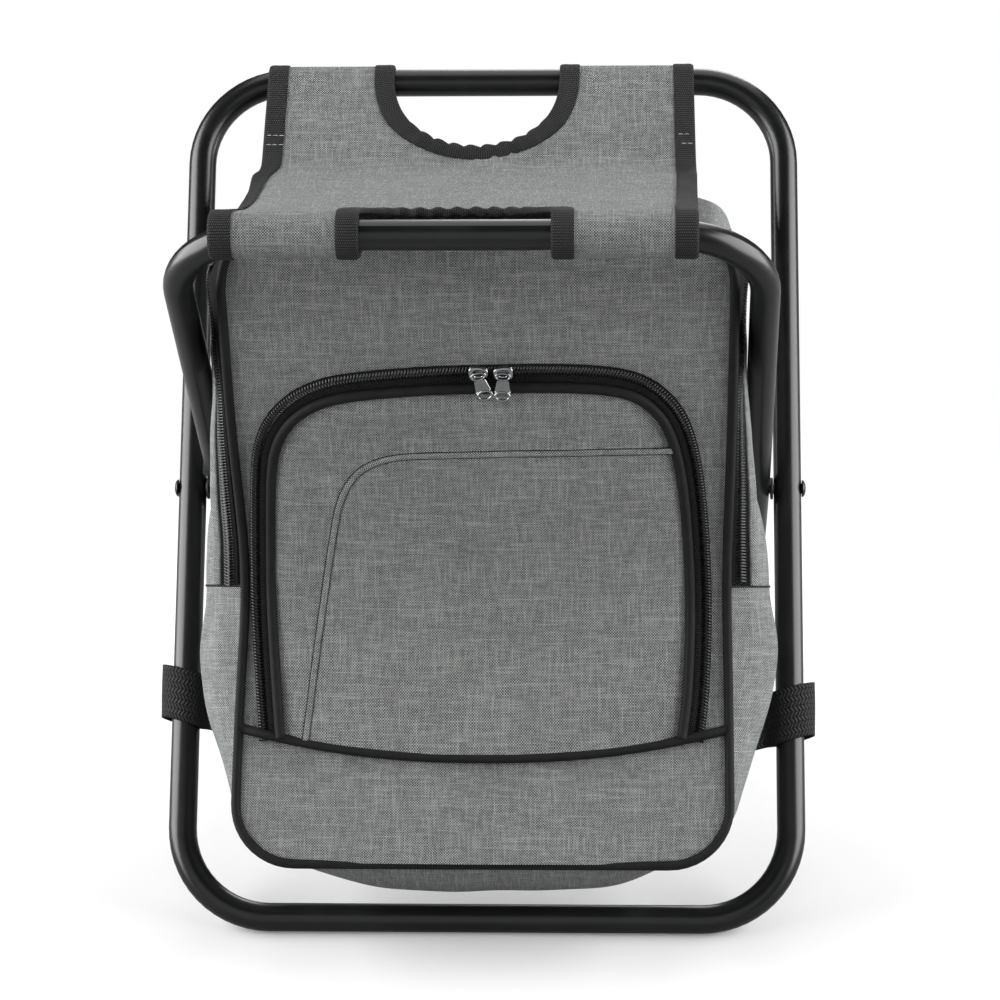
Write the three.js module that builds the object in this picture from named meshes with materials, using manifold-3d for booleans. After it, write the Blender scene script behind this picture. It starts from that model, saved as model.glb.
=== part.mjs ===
// Folding cooler stool: two crossed tube loops, a cloth sling seat and a zipped cooler bag between them.
// Millimetres, +Z up. The origin is the middle of the front foot bar's resting line on the floor.
// +X is to the right and +Y to the back, seen by someone who stands in front of the bag.

import * as THREE from 'three';
import { mergeVertices } from 'three/addons/utils/BufferGeometryUtils.js';
import Module from 'manifold-3d';

const wasm = await Module();
wasm.setup();

// Clearances
const FIT_GAP = 0.3;
const OVERCUT = 2;

// Frame loops
const TUBE_DIAMETER = 16;
const TUBE_WALL = 1.2;
const TUBE_SIDES = 12;
const OUTER_LOOP_WIDTH = 341;
const LOOP_LENGTH = 490;
const FOOT_SPREAD = 284;
const BEND_RADIUS = 50;
const BEND_STEPS = 6;
const LOOP_SIDE_GAP = 2;
const BUTT_GAP = 0.6;
const JOINER_LENGTH = 40;
const JOINER_WALL = 1.2;
const JOINER_BEND_ROOM = 4;

// Pivot hardware
const RIVET_DIAMETER = 6;
const RIVET_HEAD_DIAMETER = 10;
const RIVET_HEAD_HEIGHT = 2.2;
const RIVET_CROWN_DIAMETER = 6;
const RIVET_CROWN_HEIGHT = 1.8;
const RIVET_SIDES = 12;
const SPACER_DIAMETER = 13;
const WASHER_DIAMETER = 12;
const WASHER_THICKNESS = 1;

// Seat sling
const SEAT_SIDE_ROOM = 56;
const SEAT_OFFSET = -9;
const SEAT_THICKNESS = 1.6;
const SEAT_CREASE_SETBACK = 50;
const SEAT_CREASE_DROP = 39;
const SEAT_SAG = 1.5;
const SLEEVE_THICKNESS = 1.4;
const REAR_SLEEVE_EASE = 1.4;
const FRONT_SLEEVE_EASE = 2.6;
const SLEEVE_SIDES = 16;
const HANDHOLD_WIDTH = 99;
const HANDHOLD_DEPTH = 57;
const HANDHOLD_STEPS = 16;
const BINDING_WIDTH = 11;
const BINDING_THICKNESS = 1;

// Cooler bag, outer form
const BAG_SIDE_CLEARANCE = 10.5;
const BAG_FRONT_FOOT_ALONG = 25;
const BAG_FRONT_FOOT_OFFSET = 57;
const BAG_FRONT_TOP_SETBACK = 36;
const BAG_FRONT_TOP_DROP = 43;
const BAG_FRONT_HOLLOW = 49;
const BAG_FRONT_CROWN = 5;
const BAG_BACK_FOOT_ALONG = 40;
const BAG_BACK_REACH = 14;
const BAG_SEAT_CLEARANCE = 18;
const BAG_SIDE_BULGE = 28;
const BAG_BACK_CHAMFER = 16;
const BAG_CORNER_RADIUS = 33;
const BAG_BOTTOM_SAG = 12;
const BAG_TOP_DOME = 18;
const BAG_WALL = 5;
const LINER_THICKNESS = 1.2;
const PROFILE_STEPS = 5;

// Opening lid and zips
const LID_HINGE_HEIGHT = 190;
const ZIP_SETBACK_LOW = 18;
const ZIP_SETBACK_TOP = 46;
const ZIP_WIDTH = 10;
const ZIP_THICKNESS = 1.4;
const LID_STEPS = 6;
const PIPING_DIAMETER = 5.2;
const PIPING_SIDES = 6;

// Front pocket
const POCKET_SIDE_MARGIN = 5;
const POCKET_TOP_HEIGHT = 325;
const POCKET_FOOT_HEIGHT = 108;
const POCKET_CORNER_RADIUS = 78;
const POCKET_THICKNESS = 6;
const POCKET_ZIP_WIDTH = 10;
const POCKET_ZIP_THICKNESS = 3.2;
const POCKET_PIPING_HEIGHT = 8;

// Zip sliders and pulls
const SLIDER_LENGTH = 11;
const SLIDER_WIDTH = 8;
const SLIDER_HEIGHT = 3;
const SLIDER_NOSE_WIDTH = 5.1;
const SLIDER_NOSE_LENGTH = 3.3;
const POCKET_SLIDER_CLEARANCE = 0.9;
const MAIN_SLIDER_CLEARANCE = 0.6;
const BRIDGE_LENGTH = 7;
const BRIDGE_WIDTH = 1.2;
const BRIDGE_RISE = 2.2;
const BRIDGE_BAR = 1;
const PULL_LENGTH = 15;
const PULL_WIDTH = 7;
const PULL_THICKNESS = 1.2;
const PULL_TIP_WIDTH = 4.2;
const PULL_TIP_LENGTH = 2.4;
const PULL_RIM = 1.5;
const PULL_EYE_LENGTH = 5;
const KNUCKLE_WALL = 0.8;
const KNUCKLE_CLEARANCE = 0.45;
const KNUCKLE_SIDES = 10;
const POCKET_SLIDER_X = [0, 13];
const MAIN_SLIDER_X = [-8, 8];

// Side straps
const STRAP_WIDTH = 30;
const STRAP_THICKNESS = 1.5;
const STRAP_ALONG = 123;
const STRAP_TAIL_LENGTH = 100;

// Derived sizes
const tubeRadius = TUBE_DIAMETER / 2;
const tubeFlat = tubeRadius * Math.cos(Math.PI / TUBE_SIDES);
const innerLoopWidth = OUTER_LOOP_WIDTH - 2 * (TUBE_DIAMETER + LOOP_SIDE_GAP);
const seatWidth = innerLoopWidth - SEAT_SIDE_ROOM;
const bagWidth = innerLoopWidth - TUBE_DIAMETER - 2 * BAG_SIDE_CLEARANCE;
const pocketWidth = bagWidth - 2 * POCKET_SIDE_MARGIN;
const lean = Math.asin(FOOT_SPREAD / LOOP_LENGTH);
const barHeight = tubeFlat + LOOP_LENGTH * Math.cos(lean);
const pivot = new THREE.Vector2(FOOT_SPREAD / 2, (tubeFlat + barHeight) / 2);
const rearBar = new THREE.Vector2(FOOT_SPREAD, barHeight);
const frontBar = new THREE.Vector2(0, barHeight);
const crease = new THREE.Vector2(FOOT_SPREAD - SEAT_CREASE_SETBACK, barHeight - SEAT_CREASE_DROP);
const seatLeft = SEAT_OFFSET - seatWidth / 2;
const seatRight = SEAT_OFFSET + seatWidth / 2;
const holdLeft = SEAT_OFFSET - HANDHOLD_WIDTH / 2;
const holdRight = SEAT_OFFSET + HANDHOLD_WIDTH / 2;
const wrap = FIT_GAP + BINDING_THICKNESS;

const stool = new THREE.Group();

// Materials
const blackPaint = { color: 0x141516, roughness: 0.28, metalness: 0.2 };
const bareSteel = { color: 0x8d9092, roughness: 0.4, metalness: 0.9 };
const chrome = { color: 0xc9ccce, roughness: 0.18, metalness: 1 };
const nylon = { color: 0x151515, roughness: 0.55, metalness: 0 };
const greyCloth = { color: 0x6f7375, roughness: 0.92, metalness: 0 };
const paleCloth = { color: 0x8a8e90, roughness: 0.92, metalness: 0 };
const blackTape = { color: 0x1f2020, roughness: 0.85, metalness: 0 };
const foil = { color: 0xb9bcbe, roughness: 0.35, metalness: 0.7 };

// Solids and surfaces

function toSolid(geometry) {
  const bare = geometry.clone();
  bare.deleteAttribute('normal');
  bare.deleteAttribute('uv');
  const merged = mergeVertices(bare, 1e-4);
  const vertProperties = new Float32Array(merged.attributes.position.array);
  const triVerts = new Uint32Array(merged.index.array);
  return new wasm.Manifold(new wasm.Mesh({ numProp: 3, vertProperties, triVerts }));
}

function toGeometry(solid) {
  const { numProp, vertProperties, triVerts } = solid.getMesh();
  const positions = new Float32Array((vertProperties.length / numProp) * 3);
  for (let i = 0; i < positions.length / 3; i += 1) {
    for (let k = 0; k < 3; k += 1) {
      positions[3 * i + k] = vertProperties[numProp * i + k];
    }
  }
  const geometry = new THREE.BufferGeometry();
  geometry.setAttribute('position', new THREE.BufferAttribute(positions, 3));
  geometry.setIndex(new THREE.BufferAttribute(new Uint32Array(triVerts), 1));
  geometry.computeVertexNormals();
  return geometry;
}

function addMesh(name, shape, look, parent = stool) {
  const geometry = shape.isBufferGeometry ? shape : toGeometry(shape);
  const mesh = new THREE.Mesh(geometry, new THREE.MeshStandardMaterial(look));
  mesh.name = name;
  parent.add(mesh);
  return mesh;
}

function signedVolume(points, triangles) {
  let volume = 0;
  for (const [a, b, c] of triangles) {
    volume += points[a].dot(new THREE.Vector3().crossVectors(points[b], points[c]));
  }
  return volume;
}

// A skin over a row of rings with equal point counts. A wrapped row closes on its first ring, and an open
// row is capped at both ends from each end ring's middle.
function skin(rings, wrapped = false) {
  const count = rings[0].length;
  const points = rings.flat();
  const triangles = [];
  const last = wrapped ? rings.length : rings.length - 1;
  for (let r = 0; r < last; r += 1) {
    const next = (r + 1) % rings.length;
    for (let i = 0; i < count; i += 1) {
      const j = (i + 1) % count;
      triangles.push([r * count + i, r * count + j, next * count + j]);
      triangles.push([r * count + i, next * count + j, next * count + i]);
    }
  }
  if (!wrapped) {
    const ends = [[0, true], [rings.length - 1, false]];
    for (const [r, first] of ends) {
      const middle = new THREE.Vector3();
      rings[r].forEach((point) => middle.addScaledVector(point, 1 / count));
      points.push(middle);
      for (let i = 0; i < count; i += 1) {
        const a = r * count + i;
        const b = r * count + ((i + 1) % count);
        triangles.push(first ? [points.length - 1, b, a] : [points.length - 1, a, b]);
      }
    }
  }
  const inward = signedVolume(points, triangles) < 0;
  const index = triangles.flatMap(([a, b, c]) => (inward ? [a, c, b] : [a, b, c]));
  const geometry = new THREE.BufferGeometry().setFromPoints(points);
  geometry.setIndex(index);
  geometry.computeVertexNormals();
  return geometry;
}

function shapeOf(points) {
  return new THREE.Shape(points.map((p) => new THREE.Vector2(p.x, p.y)));
}

function extrude(shape, depth) {
  return new THREE.ExtrudeGeometry(shape, { depth, bevelEnabled: false, curveSegments: SLEEVE_SIDES });
}

const alongX = new THREE.Matrix4().makeBasis(
  new THREE.Vector3(0, 1, 0),
  new THREE.Vector3(0, 0, 1),
  new THREE.Vector3(1, 0, 0),
);
const alongY = new THREE.Matrix4().makeBasis(
  new THREE.Vector3(1, 0, 0),
  new THREE.Vector3(0, 0, 1),
  new THREE.Vector3(0, -1, 0),
);

// A prism of a side view outline (y, z), from one x to another.
function sidePrism(points, x0, x1) {
  return toSolid(extrude(shapeOf(points), x1 - x0).applyMatrix4(alongX).translate(x0, 0, 0));
}

// A prism of a front view outline (x, z), from one y to another.
function frontPrism(points, y0, y1) {
  return toSolid(extrude(shapeOf(points), y1 - y0).applyMatrix4(alongY).translate(0, y1, 0));
}

// A prism of a plan outline (x, y), from one z to another.
function planPrism(points, z0, z1) {
  return toSolid(extrude(shapeOf(points), z1 - z0).translate(0, 0, z0));
}

function polygon(radius, sides, phase = 0) {
  const points = [];
  for (let i = 0; i < sides; i += 1) {
    const angle = phase + (2 * Math.PI * i) / sides;
    points.push(new THREE.Vector2(radius * Math.cos(angle), radius * Math.sin(angle)));
  }
  return points;
}

// A round ring or disc with its axis along X.
function discX(outerRadius, innerRadius, x0, x1, y, z, sides) {
  const shape = shapeOf(polygon(outerRadius, sides, Math.PI / sides));
  if (innerRadius > 0) {
    shape.holes.push(new THREE.Path(polygon(innerRadius, sides, Math.PI / sides)));
  }
  return extrude(shape, x1 - x0).applyMatrix4(alongX).translate(x0, y, z);
}

// A cord along a path of points, with its section turned so that a side faces the front.
function cordAlong(path, diameter, sides) {
  const facing = new THREE.Vector3(0, -1, 0);
  const section = polygon(diameter / 2, sides, Math.PI / sides);
  const rings = path.map((point, i) => {
    const before = path[Math.max(0, i - 1)];
    const after = path[Math.min(path.length - 1, i + 1)];
    const tangent = after.clone().sub(before).normalize();
    const front = facing.clone().addScaledVector(tangent, -facing.dot(tangent)).normalize();
    const side = new THREE.Vector3().crossVectors(tangent, front);
    return section.map((p) => point.clone().addScaledVector(front, p.x).addScaledVector(side, p.y));
  });
  return skin(rings);
}

// Frame loops

// Each loop lies in its own XZ plane, with its foot bar on the X axis and its top bar at LOOP_LENGTH.
function loopPath(width, buttX) {
  const half = width / 2;
  const path = [{ x: buttX + BUTT_GAP / 2, z: LOOP_LENGTH, angle: Math.PI / 2 }];
  const corners = [
    { x: half - BEND_RADIUS, z: LOOP_LENGTH - BEND_RADIUS, from: Math.PI / 2 },
    { x: half - BEND_RADIUS, z: BEND_RADIUS, from: 0 },
    { x: BEND_RADIUS - half, z: BEND_RADIUS, from: -Math.PI / 2 },
    { x: BEND_RADIUS - half, z: LOOP_LENGTH - BEND_RADIUS, from: -Math.PI },
  ];
  for (const corner of corners) {
    for (let i = 0; i <= BEND_STEPS; i += 1) {
      const angle = corner.from - ((Math.PI / 2) * i) / BEND_STEPS;
      const x = corner.x + BEND_RADIUS * Math.cos(angle);
      const z = corner.z + BEND_RADIUS * Math.sin(angle);
      path.push({ x, z, angle });
    }
  }
  path.push({ x: buttX - BUTT_GAP / 2, z: LOOP_LENGTH, angle: -1.5 * Math.PI });
  return path;
}

// The stretch of a loop's top run between two places across it, bends included.
function topRun(width, x0, x1) {
  const straight = width / 2 - BEND_RADIUS;
  const stops = [x0, -straight, straight, x1].filter((x) => x >= x0 && x <= x1);
  const bends = [-1, 1].map((side) => {
    const places = [];
    for (let i = 1; i < BEND_STEPS; i += 1) {
      places.push(side * (straight + BEND_RADIUS * Math.sin(((Math.PI / 2) * i) / BEND_STEPS)));
    }
    return places.filter((x) => x > x0 && x < x1);
  });
  const places = [...new Set([...stops, ...bends.flat()])].sort((a, b) => a - b);
  return places.map((x) => {
    const past = Math.max(0, Math.abs(x) - straight);
    const turn = Math.sign(x) * Math.asin(past / BEND_RADIUS);
    const z = LOOP_LENGTH - BEND_RADIUS * (1 - Math.cos(turn));
    return { x, z, angle: Math.PI / 2 - turn };
  });
}

// Rings of a round section along a path. The phase turns the section's flats about the path.
function sectionRings(path, radius, sides, phase) {
  return path.map(({ x, z, angle }) => polygon(radius, sides, phase + Math.PI / sides).map((p) => (
    new THREE.Vector3(x + p.x * Math.cos(angle), p.y, z + p.x * Math.sin(angle))
  )));
}

// A tube's section is turned so that one flat of the foot bar lies on the floor when the loop leans.
function tubeRings(path, radius, flatAngle) {
  return sectionRings(path, radius, TUBE_SIDES, flatAngle);
}

function loopTube(width, buttX, flatAngle) {
  const path = loopPath(width, buttX);
  const outside = tubeRings(path, tubeRadius, flatAngle);
  const inside = tubeRings(path, tubeRadius - TUBE_WALL, flatAngle).reverse();
  const tube = toSolid(skin([...outside, ...inside], true));
  const reach = width / 2 + TUBE_DIAMETER;
  const hole = discX(RIVET_DIAMETER / 2 + FIT_GAP, 0, -reach, reach, 0, LOOP_LENGTH / 2, RIVET_SIDES);
  return tube.subtract(toSolid(hole));
}

function joiner(buttX, flatAngle) {
  const outer = tubeRadius - TUBE_WALL - FIT_GAP / Math.cos(Math.PI / TUBE_SIDES);
  const path = [
    { x: buttX - JOINER_LENGTH / 2, z: LOOP_LENGTH, angle: Math.PI / 2 },
    { x: buttX + JOINER_LENGTH / 2, z: LOOP_LENGTH, angle: Math.PI / 2 },
  ];
  const outside = tubeRings(path, outer, flatAngle);
  const inside = tubeRings(path, outer - JOINER_WALL, flatAngle).reverse();
  return skin([...outside, ...inside], true);
}

const outerLoop = new THREE.Group();
outerLoop.position.set(0, 0, tubeFlat);
outerLoop.rotation.x = -lean;
stool.add(outerLoop);

const innerLoop = new THREE.Group();
innerLoop.position.set(0, FOOT_SPREAD, tubeFlat);
innerLoop.rotation.x = lean;
stool.add(innerLoop);

// The tubes' butts lie under the left sleeves, clear of the bends.
const buttX = BEND_RADIUS - innerLoopWidth / 2 + JOINER_BEND_ROOM + JOINER_LENGTH / 2;
addMesh('outer_loop_tube', loopTube(OUTER_LOOP_WIDTH, buttX, lean), blackPaint, outerLoop);
addMesh('outer_loop_joiner', joiner(buttX, lean), bareSteel, outerLoop);
addMesh('inner_loop_tube', loopTube(innerLoopWidth, buttX, -lean), blackPaint, innerLoop);
addMesh('inner_loop_joiner', joiner(buttX, -lean), bareSteel, innerLoop);

// Pivot hardware, made for the right side and mirrored by a half turn for the left

const washerOuterX = innerLoopWidth / 2 - tubeRadius - FIT_GAP;
const washerInnerX = washerOuterX - WASHER_THICKNESS;
const rivetInnerX = washerInnerX - FIT_GAP;
const rivetOuterX = OUTER_LOOP_WIDTH / 2 + tubeRadius + FIT_GAP;
const spacerInnerX = innerLoopWidth / 2 + tubeRadius + FIT_GAP;
const spacerOuterX = OUTER_LOOP_WIDTH / 2 - tubeRadius - FIT_GAP;

function rivet() {
  const head = RIVET_HEAD_DIAMETER / 2;
  const crown = RIVET_CROWN_DIAMETER / 2;
  const shank = RIVET_DIAMETER / 2;
  const profile = [
    new THREE.Vector2(0, rivetInnerX - RIVET_HEAD_HEIGHT),
    new THREE.Vector2(crown, rivetInnerX - RIVET_CROWN_HEIGHT),
    new THREE.Vector2(head, rivetInnerX),
    new THREE.Vector2(shank, rivetInnerX),
    new THREE.Vector2(shank, rivetOuterX),
    new THREE.Vector2(head, rivetOuterX),
    new THREE.Vector2(crown, rivetOuterX + RIVET_CROWN_HEIGHT),
    new THREE.Vector2(0, rivetOuterX + RIVET_HEAD_HEIGHT),
  ];
  return new THREE.LatheGeometry(profile, RIVET_SIDES).rotateZ(-Math.PI / 2);
}

const ringBore = RIVET_DIAMETER / 2 + FIT_GAP;
for (const [side, turn] of [['right', 0], ['left', Math.PI]]) {
  const hardware = new THREE.Group();
  hardware.position.set(0, pivot.x, pivot.y);
  hardware.rotation.z = turn;
  stool.add(hardware);
  const spacer = discX(SPACER_DIAMETER / 2, ringBore, spacerInnerX, spacerOuterX, 0, 0, RIVET_SIDES);
  const washer = discX(WASHER_DIAMETER / 2, ringBore, washerInnerX, washerOuterX, 0, 0, RIVET_SIDES);
  addMesh(`pivot_rivet_${side}`, rivet(), blackPaint, hardware);
  addMesh(`pivot_spacer_${side}`, spacer, nylon, hardware);
  addMesh(`pivot_washer_${side}`, washer, bareSteel, hardware);
}

// Seat sling

// The cloth is pulled back against the far side of each bar, so a sleeve's middle stands off the bar's.
function sleeveMiddle(bar, ease) {
  const pull = crease.clone().sub(bar).normalize();
  return bar.clone().addScaledVector(pull, ease - FIT_GAP);
}

const rearMiddle = sleeveMiddle(rearBar, REAR_SLEEVE_EASE);
const frontMiddle = sleeveMiddle(frontBar, FRONT_SLEEVE_EASE);
const rearSleeveRadius = tubeRadius + REAR_SLEEVE_EASE + SLEEVE_THICKNESS;
const frontSleeveRadius = tubeRadius + FRONT_SLEEVE_EASE + SLEEVE_THICKNESS;

const sleeves = [
  ['rear', outerLoop, OUTER_LOOP_WIDTH, rearMiddle.clone().sub(rearBar), rearSleeveRadius],
  ['front', innerLoop, innerLoopWidth, frontMiddle.clone().sub(frontBar), frontSleeveRadius],
];
const sleeveRooms = [];
for (const [end, loop, width, pull, radius] of sleeves) {
  loop.updateMatrixWorld();
  const shift = new THREE.Vector3(0, pull.x, pull.y).applyEuler(new THREE.Euler(-loop.rotation.x, 0, 0));
  const spans = [['left', seatLeft, holdLeft], ['right', holdRight, seatRight]];
  for (const [side, x0, x1] of spans) {
    const path = topRun(width, x0, x1);
    const outside = sectionRings(path, radius, SLEEVE_SIDES, 0);
    const inside = sectionRings(path, radius - SLEEVE_THICKNESS, SLEEVE_SIDES, 0).reverse();
    const sleeve = skin([...outside, ...inside], true).translate(shift.x, shift.y, shift.z);
    addMesh(`seat_sleeve_${end}_${side}`, sleeve, greyCloth, loop);
  }
  const roomPath = topRun(width, seatLeft - wrap, seatRight + wrap);
  const room = skin(sectionRings(roomPath, radius + FIT_GAP, SLEEVE_SIDES, 0));
  sleeveRooms.push(toSolid(room.translate(shift.x, shift.y, shift.z).applyMatrix4(loop.matrixWorld)));
}

function clearOfSleeves(cloth) {
  return sleeveRooms.reduce((rest, room) => rest.subtract(room), cloth);
}

function seatEnd(middle, radius) {
  const pull = crease.clone().sub(middle).normalize();
  return middle.clone().addScaledVector(pull, radius + FIT_GAP);
}

const seatRearEnd = seatEnd(rearMiddle, rearSleeveRadius);
const seatFrontEnd = seatEnd(frontMiddle, frontSleeveRadius);
const seatMiddle = crease.clone().lerp(seatFrontEnd, 0.5);
seatMiddle.y -= SEAT_SAG;
const seatLine = [seatRearEnd, crease, seatMiddle, seatFrontEnd];

// A cloth ribbon's side view about a line of points, from one height above it to a depth below it.
function ribbon(line, above, below) {
  const normals = line.map((point, i) => {
    const before = line[Math.max(0, i - 1)];
    const after = line[Math.min(line.length - 1, i + 1)];
    const run = before.clone().sub(after).normalize();
    return new THREE.Vector2(-run.y, run.x);
  });
  const top = line.map((point, i) => point.clone().addScaledVector(normals[i], above));
  const bottom = line.map((point, i) => point.clone().addScaledVector(normals[i], -below));
  return [...top, ...bottom.reverse()];
}

// A hand-hold's plan outline, a half ellipse that opens past the end of the cloth.
function handhold(end, grow) {
  const bar = end === 'rear' ? rearBar : frontBar;
  const pull = crease.clone().sub(bar).normalize();
  const depth = HANDHOLD_DEPTH * Math.abs(pull.x) + grow;
  const half = HANDHOLD_WIDTH / 2 + grow;
  const points = [];
  for (let i = 0; i <= HANDHOLD_STEPS; i += 1) {
    const angle = (Math.PI * i) / HANDHOLD_STEPS;
    const y = bar.x + Math.sign(pull.x) * depth * Math.sin(angle);
    points.push(new THREE.Vector2(SEAT_OFFSET + half * Math.cos(angle), y));
  }
  return planPrism(points, 0, 2 * LOOP_LENGTH);
}

const seatBlank = sidePrism(ribbon(seatLine, 0, SEAT_THICKNESS), seatLeft, seatRight);
const seatPanel = seatBlank.subtract(handhold('rear', 0)).subtract(handhold('front', 0));
addMesh('seat_panel', clearOfSleeves(seatPanel), paleCloth);

const bindingForm = ribbon(seatLine, wrap, SEAT_THICKNESS + wrap);
const slotForm = ribbon(seatLine, FIT_GAP, SEAT_THICKNESS + FIT_GAP);
const leftInside = seatLeft + BINDING_WIDTH;
const rightInside = seatRight - BINDING_WIDTH;
const edges = [
  {
    side: 'left',
    tape: [seatLeft - wrap, leftInside],
    slot: [seatLeft - FIT_GAP, leftInside + OVERCUT],
  },
  {
    side: 'right',
    tape: [rightInside, seatRight + wrap],
    slot: [rightInside - OVERCUT, seatRight + FIT_GAP],
  },
];
for (const { side, tape, slot } of edges) {
  const binding = sidePrism(bindingForm, ...tape).subtract(sidePrism(slotForm, ...slot));
  addMesh(`seat_binding_${side}`, clearOfSleeves(binding), blackTape);
}
for (const end of ['rear', 'front']) {
  const reach = BINDING_WIDTH + OVERCUT;
  const form = sidePrism(bindingForm, holdLeft - reach, holdRight + reach);
  const slot = sidePrism(slotForm, seatLeft, seatRight).subtract(handhold(end, -FIT_GAP));
  const tape = form.intersect(handhold(end, BINDING_WIDTH)).subtract(handhold(end, -wrap)).subtract(slot);
  addMesh(`handhold_binding_${end}`, clearOfSleeves(tape), blackTape);
}

// Cooler bag form

// A side view point by its place along the outer loop and its offset to the front of the loop's plane.
function onLoop(along, offset) {
  const y = along * Math.sin(lean) - offset * Math.cos(lean);
  const z = tubeFlat + along * Math.cos(lean) + offset * Math.sin(lean);
  return new THREE.Vector2(y, z);
}

// Both profiles run from the bag's foot to its top in PROFILE_STEPS stages.
const frontFoot = onLoop(BAG_FRONT_FOOT_ALONG, BAG_FRONT_FOOT_OFFSET);
const frontTop = frontBar.clone().add(new THREE.Vector2(BAG_FRONT_TOP_SETBACK, -BAG_FRONT_TOP_DROP));
const frontShape = [
  { rise: 0, hollow: 0 },
  { rise: 0.2, hollow: 0.65 },
  { rise: 0.41, hollow: 1 },
  { rise: 0.63, hollow: 0.8 },
  { rise: 0.84, hollow: 0.39 },
  { rise: 1, hollow: 0 },
];
const frontProfile = new THREE.SplineCurve(frontShape.map(({ rise, hollow }) => {
  const point = frontFoot.clone().lerp(frontTop, rise);
  point.x += BAG_FRONT_HOLLOW * hollow;
  return point;
}));

const backTop = crease.clone().add(new THREE.Vector2(-SEAT_THICKNESS, -BAG_SEAT_CLEARANCE));
const backFoot = onLoop(BAG_BACK_FOOT_ALONG, -BAG_BACK_REACH);
const backShape = [
  { rise: 0, reach: 0 },
  { rise: 0.18, reach: 0.1 },
  { rise: 0.38, reach: 0.25 },
  { rise: 0.6, reach: 0.35 },
  { rise: 0.82, reach: 0.3 },
  { rise: 1, reach: 0 },
];
const backProfile = new THREE.SplineCurve(backShape.map(({ rise, reach }) => {
  const point = backFoot.clone().lerp(backTop, rise);
  point.x += BAG_BACK_REACH * reach;
  return point;
}));

// The sides swell between the crossed legs, where the straps pull them out, and slim down above the pivot.
const bulgeShape = [0, 0.43, 0.79, 1, 0.93, 0.86, 0.46, 0.2, 0.14, 0.1, 0.07];
const bulgeProfile = new THREE.SplineCurve(bulgeShape.map((share, i) => new THREE.Vector2(i, share)));
const sideShape = [
  { depth: 0.12, share: 0.55 },
  { depth: 0.33, share: 1 },
  { depth: 0.6, share: 0.25 },
  { depth: 0.85, share: 0 },
];
const frontSteps = [-1, -0.6, 0, 0.6, 1];
const backSteps = [1, 0.5, 0, -0.5, -1];

// End rings: how far each lies past the end of the profiles and is drawn in, as shares of the end's rise.
const footRings = [
  { lift: -1, front: 1.6, back: 1.6, side: 3 },
  { lift: -0.65, front: 0.5, back: 0.5, side: 1 },
];
const topRings = [
  { lift: 0.38, front: 0.15, back: 0.5, side: 0.2 },
  { lift: 0.72, front: 0.6, back: 1.25, side: 0.67 },
  { lift: 1, front: 1.8, back: 3, side: 1.8 },
];
const bodyStages = [0, 0.05, 0.15, 0.3, 0.5, 0.75, 1, 1.25, 1.5, 1.75, 2, 2.3, 2.6, 3, 3.4, 3.8, 4.2, 4.6, 5];

function cornerInset(distance) {
  const short = Math.max(0, BAG_CORNER_RADIUS - distance);
  return BAG_CORNER_RADIUS - Math.sqrt(BAG_CORNER_RADIUS ** 2 - short ** 2);
}

function bagRing(stage, grow, foot, end = null) {
  const front = frontProfile.getPoint(stage / PROFILE_STEPS);
  const back = backProfile.getPoint(stage / PROFILE_STEPS);
  const inward = back.clone().sub(front).normalize();
  const upward = new THREE.Vector2(-inward.y, inward.x);
  let half = bagWidth / 2 + grow - cornerInset(front.distanceTo(foot));
  front.addScaledVector(inward, -grow);
  back.addScaledVector(inward, grow);
  if (end) {
    const rise = end.size * end.lift + Math.sign(end.lift) * Math.max(0, grow);
    front.addScaledVector(inward, end.size * end.front).addScaledVector(upward, rise);
    back.addScaledVector(inward, -end.size * end.back).addScaledVector(upward, rise);
    half -= end.size * end.side;
  }
  const bulge = BAG_SIDE_BULGE * bulgeProfile.getPoint(stage / PROFILE_STEPS).y;
  const ring = [];
  const put = (x, depth, crown) => {
    const point = front.clone().lerp(back, depth).addScaledVector(inward, -crown);
    ring.push(new THREE.Vector3(x, point.x, point.y));
  };
  frontSteps.forEach((step) => put(half * step, 0, BAG_FRONT_CROWN * (1 - step ** 2)));
  sideShape.forEach(({ depth, share }) => put(half + bulge * share, depth, 0));
  backSteps.forEach((step) => put((half - BAG_BACK_CHAMFER) * step, 1, 0));
  [...sideShape].reverse().forEach(({ depth, share }) => put(-half - bulge * share, depth, 0));
  return ring;
}

// The bag's closed form, grown outward or shrunk inward by a wall.
function bagForm(grow) {
  const shrink = Math.max(0, -grow);
  const frontLength = frontProfile.getLength() / PROFILE_STEPS;
  const first = shrink / frontLength;
  const last = PROFILE_STEPS - shrink / frontLength;
  const foot = frontProfile.getPoint(first / PROFILE_STEPS);
  const toStage = (stage) => first + (stage / PROFILE_STEPS) * (last - first);
  const rings = [
    ...footRings.map((end) => bagRing(first, grow, foot, { ...end, size: BAG_BOTTOM_SAG })),
    ...bodyStages.map((stage) => bagRing(toStage(stage), grow, foot)),
    ...topRings.map((end) => bagRing(last, grow, foot, { ...end, size: BAG_TOP_DOME })),
  ];
  return toSolid(skin(rings));
}

const bagOuter = bagForm(0);
const bagKeepOut = bagForm(FIT_GAP);

// Lid outline: in front of the zip's line and above the fold line.

function stageAtHeight(height) {
  let low = 0;
  let high = PROFILE_STEPS;
  for (let i = 0; i < 40; i += 1) {
    const middle = (low + high) / 2;
    if (frontProfile.getPoint(middle / PROFILE_STEPS).y < height) {
      low = middle;
    } else {
      high = middle;
    }
  }
  return low;
}

const hingeStage = stageAtHeight(LID_HINGE_HEIGHT);

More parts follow.
